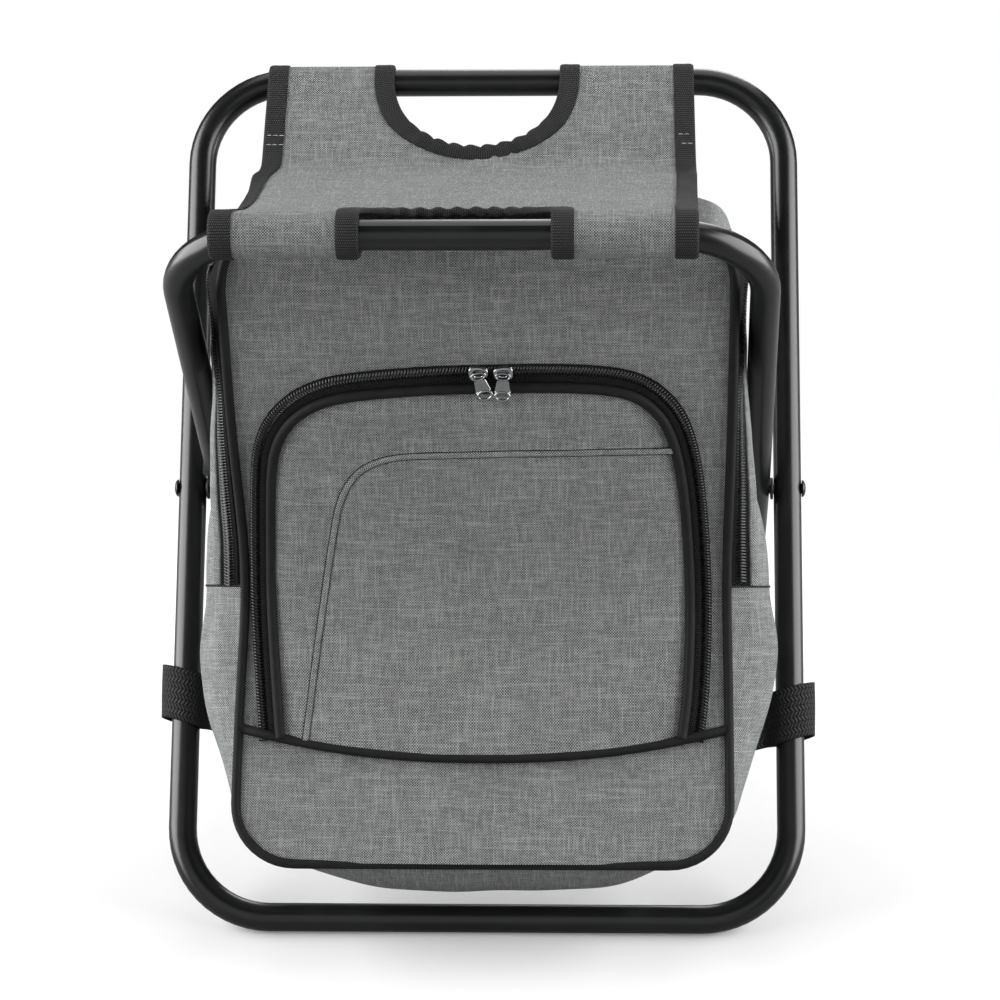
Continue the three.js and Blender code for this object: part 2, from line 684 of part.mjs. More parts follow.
function zipLine(shift) {
  const line = [];
  for (let i = 0; i <= LID_STEPS; i += 1) {
    const share = i / LID_STEPS;
    const stage = hingeStage + (PROFILE_STEPS - hingeStage) * share;
    const front = frontProfile.getPoint(stage / PROFILE_STEPS);
    const back = backProfile.getPoint(stage / PROFILE_STEPS);
    const setback = THREE.MathUtils.lerp(ZIP_SETBACK_LOW, ZIP_SETBACK_TOP, share ** 2) + shift;
    line.push(front.addScaledVector(back.sub(front).normalize(), setback));
  }
  const end = line[line.length - 1];
  line.push(new THREE.Vector2(end.x, end.y + LOOP_LENGTH));
  line[0] = new THREE.Vector2(line[0].x, LID_HINGE_HEIGHT);
  return line;
}

// The lid's keep region, drawn back from its cut by a gap, or reaching past it.
function lidRegion(gap) {
  const line = zipLine(-gap);
  const floor = LID_HINGE_HEIGHT + gap;
  line[0].y = floor;
  const far = -bagWidth;
  const outline = [new THREE.Vector2(far, floor), ...line, new THREE.Vector2(far, line[line.length - 1].y)];
  return sidePrism(outline, -bagWidth, bagWidth);
}

const lidKeep = lidRegion(FIT_GAP);
const lidCut = lidRegion(-FIT_GAP);

const shell = bagOuter.subtract(bagForm(-BAG_WALL));
const liner = bagForm(-BAG_WALL - FIT_GAP).subtract(bagForm(-BAG_WALL - FIT_GAP - LINER_THICKNESS));
addMesh('bag_shell', shell.subtract(lidCut), greyCloth);
addMesh('bag_liner', liner.subtract(lidCut), foil);
addMesh('lid_panel', shell.intersect(lidKeep), greyCloth);
addMesh('lid_liner', liner.intersect(lidKeep), foil);

// Main zip: two tapes either side of the lid's cut

const zipHalf = ZIP_WIDTH / 2;
const zipBandLine = [...zipLine(-zipHalf), ...zipLine(zipHalf).reverse()];
const zipBand = sidePrism(zipBandLine, -bagWidth, bagWidth);
const zipTape = bagForm(FIT_GAP + ZIP_THICKNESS).subtract(bagKeepOut).intersect(zipBand);
addMesh('main_zip_lid_tape', zipTape.intersect(lidKeep), blackTape);
addMesh('main_zip_bag_tape', zipTape.subtract(lidCut), blackTape);

// Piping round the front panel, in a lower run on the bag and an upper run on the lid

function edgePoint(stage, end = null) {
  const ring = bagRing(stage, 0, frontFoot, end);
  return ring[frontSteps.length - 1];
}

// A run from the left edge, across the panel along an end ring, and back along the right edge.
function runAround(edge, endRing) {
  const left = edge.map((p) => new THREE.Vector3(-p.x, p.y, p.z));
  return [...left, ...endRing.slice(0, frontSteps.length), ...[...edge].reverse()];
}

const pipingBreak = PIPING_DIAMETER / frontProfile.getLength();
const lowerStages = bodyStages.filter((stage) => stage > 0 && stage < hingeStage - pipingBreak).reverse();
const lowerEdge = [hingeStage - pipingBreak, ...lowerStages].map((stage) => edgePoint(stage));
const upperStages = bodyStages.filter((stage) => stage > hingeStage + pipingBreak);
const upperEdge = [hingeStage + pipingBreak, ...upperStages].map((stage) => edgePoint(stage));
upperEdge.push(edgePoint(PROFILE_STEPS, { ...topRings[0], size: BAG_TOP_DOME }));
const footEdge = bagRing(0, 0, frontFoot);
const topEdge = bagRing(PROFILE_STEPS, 0, frontFoot, { ...topRings[1], size: BAG_TOP_DOME });

function piping(points, region) {
  const cord = toSolid(cordAlong(points, PIPING_DIAMETER, PIPING_SIDES));
  return region(cord.subtract(bagForm(FIT_GAP)));
}

const lowerRun = piping(runAround(lowerEdge, footEdge), (cord) => cord.subtract(lidCut));
const upperRun = piping(runAround(upperEdge, topEdge), (cord) => cord.intersect(lidKeep));

// Front pocket: a raised panel inside a zip that runs round its top, over a straight piped foot

// A pocket outline in the front view: square at the foot and round at the top corners.
function pocketOutline(inset, foot, top) {
  const half = pocketWidth / 2 - inset;
  const radius = POCKET_CORNER_RADIUS - inset;
  const crest = POCKET_TOP_HEIGHT - inset;
  const points = [new THREE.Vector2(-half, foot), new THREE.Vector2(half, foot)];
  if (top < crest - radius) {
    points.push(new THREE.Vector2(half, top), new THREE.Vector2(-half, top));
    return points;
  }
  for (let i = 0; i <= HANDHOLD_STEPS; i += 1) {
    const angle = (Math.PI * i) / HANDHOLD_STEPS;
    const side = Math.abs(Math.cos(angle)) < 1e-9 ? 0 : Math.sign(Math.cos(angle));
    const x = side * (half - radius) + radius * Math.cos(angle);
    points.push(new THREE.Vector2(x, crest - radius + radius * Math.sin(angle)));
  }
  return points;
}

const nearY = -bagWidth;
const farY = Math.max(...frontProfile.points.map((point) => point.x)) + POCKET_THICKNESS;
const highest = 2 * POCKET_TOP_HEIGHT;
const panelInset = POCKET_ZIP_WIDTH + FIT_GAP;
const lowSplit = LID_HINGE_HEIGHT - FIT_GAP;
const highSplit = LID_HINGE_HEIGHT + FIT_GAP;
const panelFoot = POCKET_FOOT_HEIGHT + POCKET_PIPING_HEIGHT / 2 + FIT_GAP;
const pocketSkin = bagForm(FIT_GAP + POCKET_THICKNESS).subtract(bagKeepOut);
const zipSkin = bagForm(FIT_GAP + POCKET_ZIP_THICKNESS).subtract(bagKeepOut);

function onFront(skinSolid, outline) {
  return skinSolid.intersect(frontPrism(outline, nearY, farY));
}

const lowerPanel = onFront(pocketSkin, pocketOutline(panelInset, panelFoot, lowSplit));
const upperPanel = onFront(pocketSkin, pocketOutline(panelInset, highSplit, highest));
addMesh('pocket_panel_lower', lowerPanel, greyCloth);
addMesh('pocket_panel_upper', upperPanel, greyCloth);

const zipInner = pocketOutline(POCKET_ZIP_WIDTH, 0, highest);
const zipInnerPrism = frontPrism(zipInner, nearY, farY);
const zipArch = onFront(zipSkin, pocketOutline(0, highSplit, highest)).subtract(zipInnerPrism);
addMesh('pocket_zip_upper', zipArch, blackTape);

const zipOuterX = pocketWidth / 2;
const zipInnerX = zipOuterX - POCKET_ZIP_WIDTH;
for (const [side, x0, x1] of [['left', -zipOuterX, -zipInnerX], ['right', zipInnerX, zipOuterX]]) {
  const outline = [
    new THREE.Vector2(x0, panelFoot),
    new THREE.Vector2(x1, panelFoot),
    new THREE.Vector2(x1, lowSplit),
    new THREE.Vector2(x0, lowSplit),
  ];
  addMesh(`pocket_zip_lower_${side}`, onFront(zipSkin, outline), blackTape);
}

const footHalf = bagWidth / 2 - PIPING_DIAMETER / 2 - FIT_GAP;
const footLow = POCKET_FOOT_HEIGHT - POCKET_PIPING_HEIGHT / 2;
const footHigh = POCKET_FOOT_HEIGHT + POCKET_PIPING_HEIGHT / 2;
const footOutline = [
  new THREE.Vector2(-footHalf, footLow),
  new THREE.Vector2(footHalf, footLow),
  new THREE.Vector2(footHalf, footHigh),
  new THREE.Vector2(-footHalf, footHigh),
];
const footPiping = onFront(pocketSkin, footOutline);
addMesh('pocket_foot_piping', footPiping, blackTape);

// The edge piping gives way to the zip and the pocket where they lie close
const frontTrim = frontPrism(pocketOutline(-FIT_GAP, footLow - FIT_GAP, highest), nearY, farY);
addMesh('front_piping_lower', lowerRun.subtract(frontTrim), blackTape);
addMesh('front_piping_upper', upperRun.subtract(frontTrim), blackTape);

// Sliders and pulls, drawn with the zip along X and its outside along +Z

function box(x0, x1, y0, y1, z0, z1) {
  const geometry = new THREE.BoxGeometry(x1 - x0, y1 - y0, z1 - z0);
  return toSolid(geometry.translate((x0 + x1) / 2, (y0 + y1) / 2, (z0 + z1) / 2));
}

function slider() {
  const halfLength = SLIDER_LENGTH / 2;
  const halfWidth = SLIDER_WIDTH / 2;
  const halfBridge = BRIDGE_LENGTH / 2;
  const halfBar = BRIDGE_WIDTH / 2;
  const top = SLIDER_HEIGHT + BRIDGE_RISE + BRIDGE_BAR;
  const nose = SLIDER_NOSE_WIDTH / 2;
  const shoulder = SLIDER_NOSE_LENGTH - halfLength;
  const outline = [
    new THREE.Vector2(-halfLength, -nose),
    new THREE.Vector2(shoulder, -halfWidth),
    new THREE.Vector2(halfLength, -halfWidth),
    new THREE.Vector2(halfLength, halfWidth),
    new THREE.Vector2(shoulder, halfWidth),
    new THREE.Vector2(-halfLength, nose),
  ];
  const body = planPrism(outline, 0, SLIDER_HEIGHT);
  const arch = box(-halfBridge, halfBridge, -halfBar, halfBar, SLIDER_HEIGHT / 2, top);
  const slot = box(
    BRIDGE_BAR - halfBridge,
    halfBridge - BRIDGE_BAR,
    -halfWidth,
    halfWidth,
    SLIDER_HEIGHT,
    SLIDER_HEIGHT + BRIDGE_RISE,
  );
  return body.add(arch.subtract(slot));
}

const bridgeHeight = SLIDER_HEIGHT + BRIDGE_RISE + BRIDGE_BAR / 2;
const knuckleBore = Math.hypot(BRIDGE_WIDTH, BRIDGE_BAR) / 2 + KNUCKLE_CLEARANCE;
const knuckleRadius = knuckleBore + KNUCKLE_WALL;

// A pull hangs by a knuckle round its slider's bridge, and its plate has a long eye.
function pull() {
  const half = PULL_WIDTH / 2;
  const tip = PULL_TIP_WIDTH / 2;
  const tipStart = PULL_TIP_LENGTH - PULL_LENGTH;
  const knuckleHalf = BRIDGE_LENGTH / 2 - BRIDGE_BAR - FIT_GAP;
  const shoulder = knuckleRadius + FIT_GAP;
  const outline = [
    new THREE.Vector2(-knuckleHalf, 0),
    new THREE.Vector2(-knuckleHalf, -shoulder),
    new THREE.Vector2(-half, -shoulder),
    new THREE.Vector2(-half, tipStart),
    new THREE.Vector2(-tip, -PULL_LENGTH),
    new THREE.Vector2(tip, -PULL_LENGTH),
    new THREE.Vector2(half, tipStart),
    new THREE.Vector2(half, -shoulder),
    new THREE.Vector2(knuckleHalf, -shoulder),
    new THREE.Vector2(knuckleHalf, 0),
  ];
  const low = bridgeHeight - PULL_THICKNESS / 2;
  const high = bridgeHeight + PULL_THICKNESS / 2;
  const eyeEnd = PULL_RIM - PULL_LENGTH;
  const eyeHalf = half - PULL_RIM;
  const eyeStart = eyeEnd + PULL_EYE_LENGTH;
  const eye = box(-eyeHalf, eyeHalf, eyeEnd, eyeStart, low - OVERCUT, high + OVERCUT);
  const plate = planPrism(outline, low, high).subtract(eye);
  const barrel = toSolid(discX(knuckleRadius, 0, -knuckleHalf, knuckleHalf, 0, bridgeHeight, KNUCKLE_SIDES));
  const bore = toSolid(discX(knuckleBore, 0, -half, half, 0, bridgeHeight, KNUCKLE_SIDES));
  return plate.add(barrel).subtract(bore);
}

const pocketZipHeight = POCKET_TOP_HEIGHT - POCKET_ZIP_WIDTH / 2;
const pocketStage = stageAtHeight(pocketZipHeight);
const pocketFace = frontProfile.getPoint(pocketStage / PROFILE_STEPS);
const pocketTangent = frontProfile.getTangent(pocketStage / PROFILE_STEPS);
const pocketNormal = new THREE.Vector2(-pocketTangent.y, pocketTangent.x);
const pocketStandoff = BAG_FRONT_CROWN + POCKET_ZIP_THICKNESS + POCKET_SLIDER_CLEARANCE;
const pocketSeat = pocketFace.clone().addScaledVector(pocketNormal, pocketStandoff);
pocketSeat.addScaledVector(pocketTangent, (pocketZipHeight - pocketSeat.y) / pocketTangent.y);
const pocketTurn = Math.atan2(pocketNormal.y, -pocketNormal.x);

const zipTop = zipLine(0)[LID_STEPS];
const topRunOut = backProfile.getPoint(1).sub(frontProfile.getPoint(1)).normalize();
const topNormal = new THREE.Vector2(-topRunOut.y, topRunOut.x);
const mainStandoff = BAG_TOP_DOME + ZIP_THICKNESS + MAIN_SLIDER_CLEARANCE;
const mainSeat = zipTop.clone().addScaledVector(topNormal, mainStandoff);
const mainTurn = Math.atan2(topRunOut.y, topRunOut.x);

const sliderSets = [
  ['pocket', POCKET_SLIDER_X, pocketSeat, Math.PI / 2 - pocketTurn],
  ['main', MAIN_SLIDER_X, mainSeat, mainTurn],
];
for (const [zip, places, seat, turn] of sliderSets) {
  for (const [index, side] of ['left', 'right'].entries()) {
    const set = new THREE.Group();
    set.position.set(places[index], seat.x, seat.y);
    set.rotation.x = turn;
    stool.add(set);
    const mirror = side === 'left' ? Math.PI : 0;
    const sliderMesh = addMesh(`${zip}_slider_${side}`, slider(), chrome, set);
    sliderMesh.rotation.z = mirror;
    addMesh(`${zip}_pull_${side}`, pull(), chrome, set);
  }
}

// Side straps: webbing round each upright of the outer loop, with its tail sewn to the bag's side

const toOuterLoop = new THREE.Matrix4().makeRotationX(-lean).setPosition(0, 0, tubeFlat);
for (const [side, sign] of [['left', -1], ['right', 1]]) {
  const middle = (sign * OUTER_LOOP_WIDTH) / 2;
  const inner = tubeRadius + FIT_GAP;
  const outer = inner + STRAP_THICKNESS;
  const ring = shapeOf(polygon(outer, SLEEVE_SIDES, Math.PI / SLEEVE_SIDES));
  ring.holes.push(new THREE.Path(polygon(inner, SLEEVE_SIDES, Math.PI / SLEEVE_SIDES)));
  const wrapSolid = toSolid(extrude(ring, STRAP_WIDTH).translate(middle, 0, STRAP_ALONG - STRAP_WIDTH / 2));
  const tailFront = -outer * Math.cos(Math.PI / SLEEVE_SIDES);
  const tailReach = middle - sign * STRAP_TAIL_LENGTH;
  const tail = box(
    Math.min(middle, tailReach),
    Math.max(middle, tailReach),
    tailFront,
    tailFront + STRAP_THICKNESS,
    STRAP_ALONG - STRAP_WIDTH / 2,
    STRAP_ALONG + STRAP_WIDTH / 2,
  );
  const boreShape = shapeOf(polygon(inner, SLEEVE_SIDES, Math.PI / SLEEVE_SIDES));
  const bore = toSolid(extrude(boreShape, LOOP_LENGTH).translate(middle, 0, 0));
  const strap = toGeometry(wrapSolid.add(tail).subtract(bore)).applyMatrix4(toOuterLoop);
  addMesh(`side_strap_${side}`, toSolid(strap).subtract(bagKeepOut), blackTape);
}

export default stool;
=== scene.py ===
"""Dresses the folding cooler stool: tube loops, sling seat, cooler bag, zips and straps."""

import functools
import math

import bmesh
import bpy
import numpy as np
from bpy.props import FloatProperty, FloatVectorProperty, PointerProperty
from mathutils import Matrix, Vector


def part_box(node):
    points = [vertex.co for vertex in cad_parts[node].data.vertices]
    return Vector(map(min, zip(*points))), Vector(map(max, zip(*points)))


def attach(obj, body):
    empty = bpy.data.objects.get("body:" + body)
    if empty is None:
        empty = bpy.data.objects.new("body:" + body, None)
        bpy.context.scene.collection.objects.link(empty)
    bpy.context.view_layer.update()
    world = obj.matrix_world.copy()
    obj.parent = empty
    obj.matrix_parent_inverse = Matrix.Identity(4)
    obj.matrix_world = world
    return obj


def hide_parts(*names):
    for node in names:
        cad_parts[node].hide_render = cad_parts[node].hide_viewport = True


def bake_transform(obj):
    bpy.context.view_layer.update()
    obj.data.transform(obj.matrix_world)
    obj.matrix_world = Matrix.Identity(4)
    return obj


bl_info = {
    "name": "Folding cooler stool",
    "version": (1, 0, 0),
    "blender": (4, 5, 0),
    "location": "View3D > Sidebar > Stool",
    "description": "Builds the dressed pieces of a folding stool with a cooler bag",
    "category": "Object",
}

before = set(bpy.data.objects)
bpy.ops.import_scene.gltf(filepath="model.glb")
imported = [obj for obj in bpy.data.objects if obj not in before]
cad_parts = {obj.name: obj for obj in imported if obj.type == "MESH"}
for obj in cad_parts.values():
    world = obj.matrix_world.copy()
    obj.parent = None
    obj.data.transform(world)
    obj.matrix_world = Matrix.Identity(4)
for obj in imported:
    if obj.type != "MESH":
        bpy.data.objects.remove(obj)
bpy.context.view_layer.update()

# Places and sizes shared by several pieces, in metres, in the stool's own frame; arrays hold (y, z)
PIVOT = np.array([0.142, 0.20738])
FOOT_Y = (0.0, 0.284)
FOOT_Z = 0.007727
LOOP_LENGTH = 0.490
LEAN = math.asin((FOOT_Y[1] - FOOT_Y[0]) / LOOP_LENGTH)
OUTER_WIDTH = 0.341
INNER_WIDTH = 0.305
INNER_SKEW = -0.0035
CREASE = np.array([0.234, 0.36803])
REAR_SLEEVE = np.array([0.28313, 0.40636])
FRONT_SLEEVE = np.array([0.00227, 0.40665])
SEAT_MIDDLE = -0.009
HINGE_HEIGHT = 0.190

# The bag: its front and back from the foot to the top, how far each side swells and draws in on the
# way, its top edges, its middle, and the numbers of the last row and of the lid's fold line
FRONT_POINTS = np.array([
    (-0.0320, 0.0611), (0.0135, 0.1217), (0.0449, 0.1853),
    (0.0501, 0.2520), (0.0442, 0.3156), (0.0360, 0.3640),
])
BACK_POINTS = np.array([
    (0.0346, 0.0322), (0.0716, 0.0894), (0.1133, 0.1530),
    (0.1582, 0.2229), (0.2010, 0.2928), (0.2324, 0.3500),
])
SIDE_BULGE = {
    -1: np.array([0, 5, 20, 28, 27, 25, 16, 11.5, 11, 11, 11]) / 1000,
    1: np.array([0, 7, 21.5, 30, 27, 24, 13.5, 8.5, 7.5, 7.5, 7.5]) / 1000,
}
WAIST = {-1: 0.0040, 1: 0.0015}
FRONT_TOP_EDGE = np.array([0.0445, 0.3872])
BACK_TOP_EDGE = np.array([0.2170, 0.3620])
BAG_MIDDLE = np.array([0.0, 0.095, 0.21])
STAGES = 5.0
HINGE_STAGE = 2.0715

# The main zip's distance behind the piping, at its low ends and on top, and its place across the top
ZIP_LOW = {-1: 0.0118, 1: 0.0098}
ZIP_HIGH = 0.0450
ZIP_TOP_Y = 0.08188

# Where cloth bends: at the lid's fold line, and between the two top bars
BENDS = {
    "fold": ("outer_frame", "lid", (0, 0.04, HINGE_HEIGHT - 0.012), (0, 0.04, HINGE_HEIGHT + 0.012)),
    "seat": ("outer_frame", "inner_frame", (0, 0.222, 0.372), (0, 0.022, 0.405)),
}


# Settings

def size_setting(name, description, default, low):
    return FloatProperty(name=name, description=description, default=default, min=low, unit="LENGTH")


def colour_setting(name, description, default):
    return FloatVectorProperty(
        name=name, description=description, default=default, size=3, subtype="COLOR", min=0, max=1)


class StoolFrameSettings(bpy.types.PropertyGroup):
    """Sizes and paint of the two tube loops"""

    tube_diameter: size_setting("Tube diameter", "Outside of the bent tube", 0.0158, 0.01)
    bend_radius: size_setting("Bend radius", "Middle line of the tube's bends", 0.050, 0.02)
    paint: colour_setting("Paint", "Gloss paint on the tubes", (0.0045, 0.0048, 0.0050))


class StoolClothSettings(bpy.types.PropertyGroup):
    """Yarns and tapes of the seat and the bag"""

    dark_yarn: colour_setting("Dark yarn", "Darker yarn of the two-tone cloth", (0.021, 0.0235, 0.0232))
    light_yarn: colour_setting("Light yarn", "Lighter yarn of the two-tone cloth", (0.405, 0.419, 0.415))
    tape: colour_setting("Tape", "Binding, piping, zip tape and webbing", (0.0052, 0.0052, 0.0054))
    thread: colour_setting("Thread", "Sewing thread", (0.42, 0.43, 0.43))
    yarn_pitch: size_setting("Yarn pitch", "Distance between two yarns of the cloth", 0.00072, 0.0002)
    binding_width: size_setting(
        "Binding width", "Width of the folded tape on the seat's edges", 0.011, 0.004)


class StoolBagSettings(bpy.types.PropertyGroup):
    """Sizes of the cooler bag's trim"""

    half_width: size_setting("Half width", "Half the width of the bag's front panel", 0.134, 0.08)
    foot_radius: size_setting(
        "Foot corner radius", "Round lower corners of the front panel", 0.033, 0.01)
    piping_diameter: size_setting(
        "Piping diameter", "Covered cord round the front panel", 0.0052, 0.002)
    tooth_pitch: size_setting(
        "Tooth pitch", "Distance between two turns of a zip's coil", 0.0017, 0.0008)
    foil: colour_setting("Foil", "Insulating liner", (0.55, 0.56, 0.57))


class StoolStageSettings(bpy.types.PropertyGroup):
    """Floor, light and camera"""

    floor: colour_setting("Floor", "Colour of the floor", (0.60, 0.60, 0.60))
    camera_distance: size_setting(
        "Camera distance", "From the camera to the middle of the stool", 1.770, 0.5)


# Shader values

class Value:
    """A shader socket whose arithmetic adds Math nodes."""

    def __init__(self, tree, socket=None):
        self.tree = tree
        self.socket = socket

    def plug(self, slot, value):
        if isinstance(value, Value):
            self.tree.links.new(value.socket, slot)
        else:
            slot.default_value = value

    def node(self, kind, settings=None, inputs=None, output=0):
        """Any node, from its type, its settings and what goes into its sockets."""
        made = self.tree.nodes.new(kind)
        for key, value in (settings or {}).items():
            setattr(made, key, value)
        for key, value in (inputs or {}).items():
            self.plug(made.inputs[key], value)
        return Value(self.tree, made.outputs[output])

    def math(self, operation, *operands):
        return self.node("ShaderNodeMath", {"operation": operation}, dict(enumerate(operands)))

    def __add__(self, other):
        return self.math("ADD", self, other)

    def __sub__(self, other):
        return self.math("SUBTRACT", self, other)

    def __rsub__(self, other):
        return self.math("SUBTRACT", other, self)

    def __mul__(self, other):
        return self.math("MULTIPLY", self, other)

    def __truediv__(self, other):
        return self.math("DIVIDE", self, other)

    def __mod__(self, other):
        return self.math("FLOORED_MODULO", self, other)

    def floor(self):
        return self.math("FLOOR", self)

    def wave(self):
        """A rounded ridge once per unit."""
        return self.math("ABSOLUTE", self.math("SINE", self * math.pi))

    def step(self, low, high):
        return self.node(
            "ShaderNodeMapRange", {"interpolation_type": "SMOOTHSTEP"},
            {"Value": self, "From Min": low, "From Max": high})

    def mix(self, first, second):
        """A blend of two values by this factor."""
        return first + (second - first) * self

    def tint(self, first, second):
        """A blend of two colours by this factor."""
        return self.node(
            "ShaderNodeMix", {"data_type": "RGBA"}, {"Factor": self, 6: rgba(first), 7: rgba(second)}, 2)

    def noise(self, scale, detail, roughness=0.5):
        return self.node(
            "ShaderNodeTexNoise", None,
            {"Vector": self, "Scale": scale, "Detail": detail, "Roughness": roughness})


def rgba(colour):
    return (*tuple(colour)[:3], 1.0)


def times(colour, share):
    return [share * c for c in colour]


class Finish:
    """A material on one Principled shader, with the surface's own coordinates."""

    def __init__(self, name):
        self.material = bpy.data.materials.new(name)
        self.material.use_nodes = True
        self.tree = self.material.node_tree
        self.shader = self.tree.nodes["Principled BSDF"]
        self.start = Value(self.tree)
        self.node = self.start.node

    def uv(self, wide, high):
        """Distances across and along a piece, counted in a width and a height."""
        split = self.node(
            "ShaderNodeSeparateXYZ", None, {0: self.node("ShaderNodeUVMap", {"uv_map": "UVMap"})})
        return split / wide, Value(self.tree, split.socket.node.outputs[1]) / high

    def place(self):
        return self.node("ShaderNodeTexCoord", None, None, "Object")

    def flat(self, x, y, z=0.0):
        return self.node("ShaderNodeCombineXYZ", None, {0: x, 1: y, 2: z})

    def drawn(self, scales, detail):
        """Noise drawn out by a scale for each axis."""
        stretched = self.node(
            "ShaderNodeVectorMath", {"operation": "MULTIPLY"}, {0: self.place(), 1: scales})
        return stretched.noise(1.0, detail)

    def set(self, **values):
        for key, value in values.items():
            self.start.plug(self.shader.inputs[key.replace("_", " ")], value)

    def bump(self, height, distance, strength):
        self.set(Normal=self.node(
            "ShaderNodeBump", None, {"Height": height, "Distance": distance, "Strength": strength}))
        return self.material

    def grained(self, grain, dark, light, rough, distance, strength):
        """Colour, roughness and bump that all follow one grain."""
        self.set(Base_Color=grain.tint(dark, light), Roughness=grain * rough[0] + rough[1])
        return self.bump(grain, distance, strength)


@functools.cache
def melange_cloth():
    """Plain weave of two-tone yarns, with slubs, a faint mottle and painted shade in the gaps between the
    yarns.
    """
    look = bpy.context.scene.stool_cloth
    made = Finish("melange_cloth")
    u, v = made.uv(look.yarn_pitch, look.yarn_pitch)
    warp_id, weft_id = u.floor(), v.floor()
    on_top = (warp_id + weft_id) % 2.0
    warp = made.flat(warp_id * 7.31, v * 0.085).noise(1.0, 1.0).step(0.32, 0.68)
    weft = made.flat(u * 0.085, weft_id * 5.77 + 91.0, 4.0).noise(1.0, 1.0).step(0.32, 0.68)
    slub = made.flat(u * 0.03, weft_id * 3.13, 9.0).noise(1.0, 0.0).step(0.58, 0.72)
    nub = made.flat(warp_id * 2.71, v * 0.03, 13.0).noise(1.0, 0.0).step(0.58, 0.72)
    mottle = made.flat(u * 0.012, v * 0.012, 2.0).noise(1.0, 3.0)
    tone = on_top.mix(warp * 0.30, weft * 0.30 + 0.72)
    tone = tone + slub * 0.16 + nub * 0.13 + (mottle - 0.5) * 0.10 - 0.06
    ridge_u, ridge_v = (u - warp_id).wave(), (v - weft_id).wave()
    # Painted shade: each yarn's colour darkens towards its edges, in the gaps between yarns
    shade = (ridge_u * ridge_v).step(0.0, 0.45) * 0.66 + 0.34
    colour = made.node(
        "ShaderNodeMix", {"data_type": "RGBA", "blend_type": "MULTIPLY"},
        {"Factor": 1.0, 6: tone.tint(look.dark_yarn, look.light_yarn), 7: made.flat(shade, shade, shade)}, 2)
    made.set(
        Base_Color=colour, Roughness=0.93, Sheen_Weight=0.04, Sheen_Roughness=0.5,
        Specular_IOR_Level=0.12)
    return made.bump(on_top.mix(ridge_u, ridge_v), 0.00022, 0.8)


@functools.cache
def ribbed_tape(name="ribbed_tape", shade=1.0):
    """Black woven tape: small ribs in a basket weave, their tops painted lighter as a highlight."""
    tape = bpy.context.scene.stool_cloth.tape
    made = Finish(name)
    u, v = made.uv(0.0011, 0.0014)
    row = v.floor()
    ridge = ((u + row * 0.5).wave() * (v - row).wave()).step(0.10, 0.75)
    worn = made.flat(u * 0.05, v * 0.05).noise(1.0, 2.0)
    # Painted highlight: the colour is many times lighter on the rib tops than in the low yarn
    made.set(
        Base_Color=(ridge * 0.75 + worn * 0.25).tint(times(tape, 0.4 * shade), times(tape, 9.0 * shade)),
        Roughness=ridge * -0.15 + 0.82, Specular_IOR_Level=0.10 * shade)
    return made.bump(ridge, 0.00035, 0.9)


def zip_tape():
    """The same tape, darker, as the zips have it."""
    return ribbed_tape("zip_tape", 0.4)


@functools.cache
def covered_cord():
    """Black piping cloth: a fine twill over a round cord."""
    tape = bpy.context.scene.stool_cloth.tape
    made = Finish("covered_cord")
    u, v = made.uv(0.0009, 0.0009)
    twill = (u + v).wave()
    rub = made.place().noise(140.0, 3.0)
    made.set(
        Base_Color=(twill * 0.35 + rub * 0.5).tint(times(tape, 0.3), times(tape, 3.6)),
        Roughness=rub * 0.2 + 0.5, Specular_IOR_Level=0.10)
    return made.bump(twill, 0.00010, 0.6)


@functools.cache
def herringbone_webbing():
    """Black strap webbing with columns of slanted ribs."""
    tape = bpy.context.scene.stool_cloth.tape
    made = Finish("herringbone_webbing")
    column, row = made.uv(0.0030, 0.0021)
    within = column - column.floor()
    slant = within * (1.0 - column.floor() % 2.0 * 2.0)
    height = (row + slant * 0.9).wave() * within.wave().step(0.0, 0.35)
    fluff = made.place().noise(700.0, 2.0)
    made.set(
        Base_Color=(height * 0.7 + fluff * 0.3).tint(tape, times(tape, 4.4)),
        Roughness=0.8 - height * 0.15, Specular_IOR_Level=0.2)
    return made.bump(height, 0.0006, 1.0)


@functools.cache
def coil_nylon():
    """Black nylon of the zips' coils."""
    made = Finish("coil_nylon")
    wear = made.place().noise(420.0, 2.0)
    return made.grained(wear, (0.004, 0.004, 0.005), (0.016, 0.016, 0.017), (0.15, 0.20), 0.00008, 0.4)


@functools.cache
def gloss_paint():
    """Gloss black paint with a slight orange peel and dust."""
    paint = bpy.context.scene.stool_frame.paint
    made = Finish("gloss_paint")
    place = made.place()
    dust = place.noise(38.0, 5.0, 0.6).step(0.45, 0.75)
    made.set(
        Base_Color=dust.tint(paint, [1.4 * c + 0.001 for c in paint]), Roughness=dust * 0.04 + 0.29,
        Coat_Weight=0.05, Coat_Roughness=0.14, Specular_IOR_Level=0.40)
    return made.bump(place.noise(300.0, 2.0), 0.00004, 0.15)


@functools.cache
def polished_chrome():
    """Plated slider metal with fine scratches."""
    made = Finish("polished_chrome")
    scratch = made.drawn((2600.0, 300.0, 300.0), 2.0)
    cloud = made.place().noise(260.0, 3.0)
    made.set(
        Base_Color=cloud.tint((0.22, 0.225, 0.23), (0.36, 0.365, 0.37)),
        Metallic=1.0, Roughness=scratch * 0.14 + 0.08)
    return made.bump(scratch, 0.00003, 0.3)


@functools.cache
def bare_steel():
    """Drawn steel of the joiners and washers."""
    made = Finish("bare_steel")
    grain = made.drawn((90.0, 1800.0, 1800.0), 3.0)
    made.set(Metallic=1.0)
    return made.grained(grain, (0.36, 0.36, 0.37), (0.60, 0.60, 0.61), (0.2, 0.28), 0.00004, 0.4)


@functools.cache
def moulded_nylon():
    """Black nylon of the pivot spacers."""
    made = Finish("moulded_nylon")
    grain = made.place().noise(900.0, 3.0)
    return made.grained(grain, (0.010, 0.010, 0.010), (0.026, 0.026, 0.027), (0.15, 0.45), 0.00006, 0.5)


